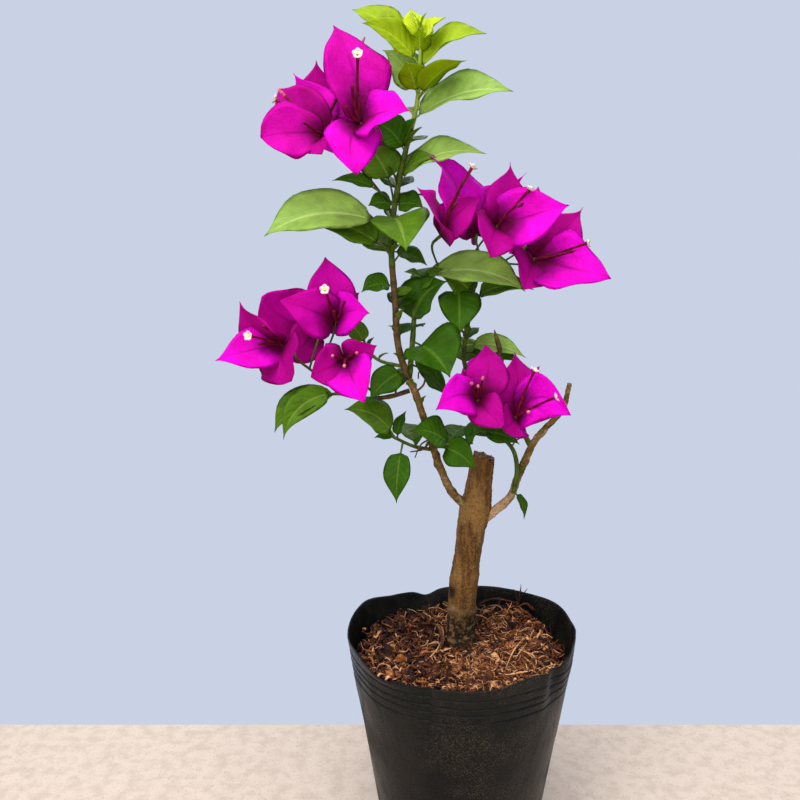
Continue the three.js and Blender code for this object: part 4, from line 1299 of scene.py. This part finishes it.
def add_trunk(materials):
    """The stump: long ridges, swollen rings, a stained foot, and a rough cut top."""
    piece = Piece("trunk_bark", ["stump_bark", "cut_wood"], ["stain", "pale"])
    rings, sides = 170, 80
    spots, skin = limb_spots(LIMBS["trunk"], rings, sides, trunk_relief)
    lid = rough_cut(skin, spots[-1], sides)
    whole = np.vstack([skin, lid, spots[:1], spots[-1:] + UP * -0.3])
    faces = ring_faces(rings + CUT_RINGS - 1, sides)
    edge = (rings - 1) * sides
    looks = ["cut_wood" if min(face) >= edge else "stump_bark" for face in faces]
    piece.add(whole, faces, looks, **trunk_marks(whole))
    piece.build(materials, ["trunk"], "bark")


def bough_relief(spot, share, angle):
    """Uneven skin, with old joints that swell on one side or the other."""
    x, y, z = spot
    joints = 0.0
    for place, bulge, towards in BOUGH_JOINTS:
        facing = 0.55 + 0.45 * math.cos(angle - towards)
        joints += bulge * facing * bell(share, place, JOINT_WIDTH)
    flare = 1.6 * math.exp(-share / 0.045)
    return 0.3 * rough(x, y, z, 2.6) + 0.16 * rough(x, y, z, 1.1) + joints + flare


def bough_marks(spots, share, name):
    """Pale worn skin, most of all on the foot of the right bough, and dark blots."""
    blots = np.array([rough(*spot, 4) for spot in spots])
    pale = smooth(0.1, 0.8, blots) * (0.35 if name == "left_bough" else 0.6)
    if name == "right_bough":
        pale = pale + smooth(0.45, 0.15, share) * 0.65
    return {"stain": smooth(0.2, 0.8, -blots) * 0.45, "pale": np.clip(pale, 0, 0.95)}


def add_boughs(materials, crown):
    piece = Piece("bough_bark", ["bough_skin", "cut_wood"], ["stain", "pale"])
    rings, sides = 130, 22
    last = (rings - 1) * sides
    for name in ("left_bough", "right_bough"):
        slim = {"spine": LIMBS[name]["spine"], "radii": [r * BOUGH_SLIM for r in LIMBS[name]["radii"]]}
        spots, skin = limb_spots(slim, rings, sides, bough_relief)
        whole = np.vstack([skin, spots[:1], spots[-1:]])
        faces = ring_faces(rings, sides)
        looks = ["cut_wood" if min(face) >= last else "bough_skin" for face in faces]
        share = np.clip(np.arange(len(whole)) / last, 0, 1)
        piece.add(whole, faces, looks, **bough_marks(whole, share, name))
        crown.keep_clear_of(whole, faces)
    piece.build(materials, ["left_bough", "right_bough"], "bark")


# Pot and filling

def bump_at(turn, at, width):
    return bell((turn - at + 180) % 360 - 180, 0, width)


def rim_wave(turn):
    return sum(height * bump_at(turn, at, width) for at, height, width in RIM_WAVES)


def wall_dent(turn, z):
    return sum(depth * bump_at(turn, at, width) * smooth(POT_HEIGHT - down, POT_HEIGHT, z)
               for at, depth, width, down in WALL_DENTS)


def wall_radius(z):
    return BASE_RADIUS + (RIM_RADIUS - BASE_RADIUS) * z / POT_HEIGHT


def groove_depth(turns, z):
    """The four fine grooves below the rim, which waver a little round the wall."""
    waver = 0.35 * np.sin(np.radians(turns) * 7) + 0.25 * np.sin(np.radians(turns) * 3 + 1)
    return GROOVE_DEPTH * sum(bell(z + waver, POT_HEIGHT - drop, GROOVE_HALF) for drop in GROOVE_DROPS)


def wall_crinkle(turns, z):
    """Soft buckles of the thin wall, stronger towards the rim."""
    x = 30 * np.cos(np.radians(turns))
    y = 30 * np.sin(np.radians(turns))
    broad = np.array([rough(a, b, z * 0.35, 13) for a, b in zip(x, y)])
    fine = np.array([rough(a, b, z * 0.25, 4.5) for a, b in zip(x, y)])
    return (0.55 * broad + 0.16 * fine) * (0.35 + 0.65 * smooth(50, POT_HEIGHT, z)) * smooth(0, 8, z)


def wall_spots(turns, z, inset):
    """A ring of the soft wall at a height, inset from its outer skin."""
    radius = wall_radius(z) + wall_dent(turns, z) - groove_depth(turns, z) + wall_crinkle(turns, z) - inset
    lift = rim_wave(turns) * smooth(SOIL_Z + 2, POT_HEIGHT, z)
    angle = np.radians(turns)
    return np.stack([radius * np.cos(angle), radius * np.sin(angle), z + lift], axis=1)


def foot_inset(z):
    """How far the rounded edge of the foot stands in from the wall at a height."""
    return FOOT_ROUND - math.sqrt(max(FOOT_ROUND ** 2 - (FOOT_ROUND - z) ** 2, 0))


def add_pot(materials):
    piece = Piece("pot_wall", ["pot_plastic"])
    sides = 360
    turns = np.arange(sides) * 360 / sides
    lip = POT_SKIN / 2
    foot = [(z, foot_inset(z)) for z in (0, 0.4, 1, 1.8)]
    plain = [(z, 0) for z in np.linspace(FOOT_ROUND + 1, GROOVED_FROM - 0.6, 32)]
    grooved = [(z, 0) for z in np.linspace(GROOVED_FROM, POT_HEIGHT - 1, 86)]
    round_lip = [(POT_HEIGHT - 0.3, lip * 0.3), (POT_HEIGHT, lip), (POT_HEIGHT - 0.3, lip * 1.7)]
    inside = [(z, POT_SKIN) for z in (126, 124, 122, 120, 117, 114, 110, POT_FLOOR)]
    rings = [wall_spots(turns, z, inset) for z, inset in foot + plain + grooved + round_lip + inside]
    spots = np.vstack(rings + [[[0, 0, 0]], [[0, 0, POT_FLOOR]]])
    piece.add(spots, ring_faces(len(rings), sides), "pot_plastic")
    piece.build(materials, ["pot"], "pot")


def from_trunk(x, y):
    return np.hypot(x - FOOT_OF_TRUNK[0], y - FOOT_OF_TRUNK[1])


def lump(x, y):
    """How far the potting mix stands above or below its mean height."""
    mound = sum(height * np.exp(-((x - at_x) ** 2 + (y - at_y) ** 2) / spread ** 2)
                for at_x, at_y, height, spread in MOUNDS)
    waves = np.sin(0.33 * x + 2 * np.sin(0.21 * y)) * np.cos(0.29 * y + np.sin(0.27 * x))
    return (SOIL_LUMP * waves + mound) * smooth(FLAT_ROUND_TRUNK, LUMPS_FROM, from_trunk(x, y))


def add_bed(materials):
    """The dark, crumbly bed that the chips and fibres lie on."""
    piece = Piece("mix_bed", ["mix_dark"])
    sides, rings = 150, 40
    turns = np.arange(sides) * 360 / sides
    angle = np.radians(turns)
    edge = wall_radius(SOIL_Z) + wall_dent(turns, SOIL_Z) - POT_SKIN - BED_GAP
    rows = []
    for i in range(rings):
        reach = edge * (1 - i / rings)
        x, y = reach * np.cos(angle), reach * np.sin(angle)
        clods = np.array([1.6 * rough(a, b, 0, 4.5) + 0.7 * rough(a, b, 9, 1.6) for a, b in zip(x, y)])
        rows.append(np.stack([x, y, SOIL_Z - BED_DROP + lump(x, y) + clods], axis=1))
    underside = SOIL_Z - BED_THICK
    low = rows[0] * [0.96, 0.96, 0] + [0, 0, underside]
    spots = np.vstack([low] + rows + [[[0, 0, underside]], [[0, 0, SOIL_Z - BED_DROP]]])
    piece.add(spots, ring_faces(rings + 1, sides), "mix_dark")
    piece.build(materials, ["potting_mix"], "mix")


def bed_spot(chance, margin, wish=None):
    """A random place on the bed, clear of the trunk and the wall, more likely where wish is high."""
    while True:
        angle = 360 * chance.next()
        wall = wall_radius(SOIL_Z) + float(wall_dent(np.array([angle]), SOIL_Z)[0])
        reach = (wall - margin) * math.sqrt(chance.next())
        x, y = reach * math.cos(math.radians(angle)), reach * math.sin(math.radians(angle))
        clear = from_trunk(x, y) > CLEAR_OF_TRUNK
        if clear and (wish is None or chance.next() < wish(x, y)):
            return np.array([x, y, SOIL_Z + float(lump(x, y))])


def fibrous(x, y):
    """Where loose tan fibre lies on top: mostly in front of the trunk and to its right."""
    front = math.exp(-((x - 14) / 26) ** 2 - ((y + 28) / 24) ** 2)
    right = 0.55 * math.exp(-((x - 32) / 16) ** 2 - ((y - 12) / 22) ** 2)
    return 0.1 + 0.9 * min(front + right, 1)


def chip_look(chance, paler):
    """A look drawn by chance, more often a pale one where paler is high."""
    level = chance.next() + paler
    return CHIP_LOOKS[sum(level >= top for top in CHIP_LEVELS)]


def add_chip(piece, chance, size, middle, look):
    """A flat, broken, slightly curled flake that lies any way."""
    normal = heading(360 * chance.next(), 90 - 80 * chance.next())
    side = square_to(heading(360 * chance.next(), 5), normal)
    other = np.cross(normal, side)
    sides = 8
    thick = 0.35 + 0.6 * chance.next()
    narrow = 0.3 + 0.5 * chance.next()
    top, low = [], []
    for j in range(sides):
        angle = (j + 0.6 * chance.next()) * 2 * math.pi / sides
        reach = size * (0.55 + 0.5 * chance.next())
        out = side * math.cos(angle) * reach + other * math.sin(angle) * reach * narrow
        curl = normal * (math.cos(angle) ** 2) * size * 0.22
        top.append(middle + out + curl + normal * thick / 2)
        low.append(middle + out * 0.92 + curl - normal * thick / 2)
    spots = np.vstack([low, top, [middle - normal * thick / 2], [middle + normal * thick / 2]])
    piece.add(spots, ring_faces(2, sides), look)


def add_chips(materials, small, large):
    """Broken flakes of husk and bark: a litter of small ones and some large ones on top."""
    piece = Piece("mix_chips", CHIP_LOOKS)
    chance = Seeded(SEEDS["chips"])
    for number in range(small + large):
        big = number >= small
        size = 3.6 + 3.4 * chance.next() if big else 1.2 + 2.6 * chance.next() ** 1.6
        middle = bed_spot(chance, size + 2.5) + UP * (size * (0.3 if big else 0.15) * chance.next())
        paler = 0.42 * fibrous(middle[0], middle[1]) - 0.2 + (0.1 if big else 0)
        add_chip(piece, chance, size, middle, chip_look(chance, paler))
    piece.build(materials, [], "mix")


def add_husk(piece, chance, spine, radius, flat, look):
    """A shred of husk: fibres side by side along a spine, each with its own reach and wander."""
    line = Line(spine)
    steps = np.linspace(0, 1, 14)
    near = CHIP_LOOKS.index(look)
    for _ in range(max(1, round(radius * 4))):
        first, last = 0.22 * chance.next(), 1 - 0.22 * chance.next()
        shares = first + (last - first) * steps
        aside = heading(360 * chance.next(), 50 * (chance.next() - 0.4)) * radius * 0.75 * chance.next()
        sway = np.cos(steps * (2 + 3 * chance.next()) + 3 * chance.next())
        thick = min(radius, 0.35 + 0.16 * radius) * (0.6 + 0.4 * chance.next())
        taper = thick * np.sin(math.pi * (0.03 + 0.94 * steps)) ** 0.7
        shown = CHIP_LOOKS[min(max(near + round(1.7 * chance.next() - 0.85), 0), len(CHIP_LOOKS) - 1)]
        piece.add(*rod(line.at(shares) + aside * sway[:, None], taper, 5, max(flat, 0.5)), shown)


def curled_path(chance, start, length):
    """A line of a given length through start, bent into an arc to one side and waved up and down."""
    turn = 360 * chance.next()
    ahead = heading(turn, 50 * (chance.next() - 0.4))
    side = square_to(heading(turn + 90, 60 * (chance.next() - 0.5)), ahead)
    up = np.cross(ahead, side)
    curl = (0.6 + 3.0 * chance.next()) * (1 if chance.next() < 0.5 else -1)
    bend = FIBRE_SHARES * curl
    return (start + ahead * (np.sin(bend) / curl * length)[:, None]
            + side * ((1 - np.cos(bend)) / curl * length)[:, None]
            + up * (0.8 * np.sin(FIBRE_SHARES * 9 + turn))[:, None])


def lies_in_pot(spots):
    """Whether every spot is clear of the pot's wall and of the trunk."""
    x, y = spots[:, 0], spots[:, 1]
    return np.hypot(x, y).max() <= wall_radius(SOIL_Z) - 3 and from_trunk(x, y).min() >= CLEAR_OF_FIBRES


def add_fibres(materials, count):
    """Curled shreds and hairs of coir, two hairs to each shred, and the long husks."""
    piece = Piece("mix_fibres", CHIP_LOOKS)
    chance = Seeded(SEEDS["fibres"])
    for number in range(count):
        hair = number % 3 > 0
        length = (7 + 14 * chance.next()) if hair else (4 + 8 * chance.next())
        start = bed_spot(chance, 5, fibrous) + UP * (0.2 + 2.4 * chance.next())
        spots = curled_path(chance, start, length)
        if not lies_in_pot(spots):
            continue
        radius = 0.2 + 0.16 * chance.next() if hair else 0.45 + 0.75 * chance.next()
        taper = radius * (1 - 0.75 * np.abs(FIBRE_SHARES * 2) ** 3)
        piece.add(*rod(spots, taper, 4, 1.0 if hair else 0.3), chip_look(chance, 0.3 if hair else 0.16))
    for row in HUSK_STRANDS:
        add_husk(piece, chance, *row)
    piece.build(materials, [], "mix")


# Camera, light and floor

CROWN_MIDDLE = (-0.03, 0, 0.3)
# Lamps in metres, all turned to the middle of the crown: [name, place, size, watts, colour].
LAMPS = [
    ["top", (-0.15, -0.4, 1.5), 0.9, 19, (1.0, 0.99, 0.96)],
    ["key", (-0.6, -0.9, 0.95), 0.6, 8, (1.0, 0.98, 0.95)],
    ["fill", (0.25, -1.5, 0.4), 1.2, 7, (1.0, 0.99, 0.98)],
    ["back", (0.3, 0.8, 1.0), 0.6, 4, (1.0, 0.99, 0.97)],
]


def add_camera():
    lens = bpy.data.cameras.new("camera")
    lens.lens = LENS
    lens.sensor_width = SENSOR
    lens.clip_start = 0.01
    camera = put_in_scene("camera", lens)
    camera.location = CAMERA_AT
    camera.rotation_euler = (math.radians(90 - CAMERA_DOWN), 0, 0)
    bpy.context.scene.camera = camera


def add_light(name, spot, aim, size, watts, colour):
    lamp = bpy.data.lights.new(name, "AREA")
    lamp.shape = "DISK"
    lamp.size = size
    lamp.energy = watts
    lamp.color = colour
    made = put_in_scene(name, lamp)
    made.location = spot
    made.rotation_euler = (Vector(aim) - Vector(spot)).to_track_quat("-Z", "Y").to_euler()


def add_studio():
    for name, spot, size, watts, colour in LAMPS:
        add_light(name, spot, CROWN_MIDDLE, size, watts, colour)
    world = bpy.data.worlds.new("studio")
    world.use_nodes = True
    background = world.node_tree.nodes["Background"]
    background.inputs["Color"].default_value = linear(BACKGROUND)
    background.inputs["Strength"].default_value = 1.0
    scene = bpy.context.scene
    scene.world = world
    scene.view_settings.view_transform = "Standard"
    scene.view_settings.look = "None"


def add_floor():
    """A pale, slightly mottled slab whose far edge lies just behind the pot."""
    looks = Looks("floor")
    grains = looks.grain(0.0016, 4.0)
    looks.bump(grains, 0.0004, 0.4)
    mottle = looks.spread(looks.grain(0.009, 6.0), 0.4, 0.66)
    shade = looks.over(linear(FLOOR_COLOURS["pale"]), mottle, FLOOR_COLOURS["mottle"])
    shade = looks.over(shade, looks.spread(grains, 0.56, 0.7, 0, 0.5), FLOOR_COLOURS["flecks"])
    looks.finish(shade, 0.9, 0.1)
    side, front, back = FLOOR["half_width"], FLOOR["front"], FLOOR["back"]
    corners = [(-side, front), (side, front), (side, back), (-side, back)]
    spots = [(x, y, z) for z in (0, -FLOOR["thick"]) for x, y in corners]
    faces = [(0, 1, 2, 3), (7, 6, 5, 4), (0, 4, 5, 1), (1, 5, 6, 2), (2, 6, 7, 3), (3, 7, 4, 0)]
    mesh = bpy.data.meshes.new("floor")
    mesh.from_pydata(spots, [], faces)
    mesh.materials.append(looks.material)
    put_in_scene("floor", mesh)


add_camera()
materials = make_materials()
crown = grow_crown()
add_trunk(materials)
add_boughs(materials, crown)
crown.leaves.build(materials, list(SHOOTS), "leaf")
crown.twigs.build(materials, [], "leaf")
crown.bracts.build(materials, list(CLUSTERS), "bract")
crown.flowers.build(materials, [], "bract")
add_pot(materials)
add_bed(materials)
add_chips(materials, SMALL_CHIPS, LARGE_CHIPS)
add_fibres(materials, FIBRES)
add_studio()
add_floor()
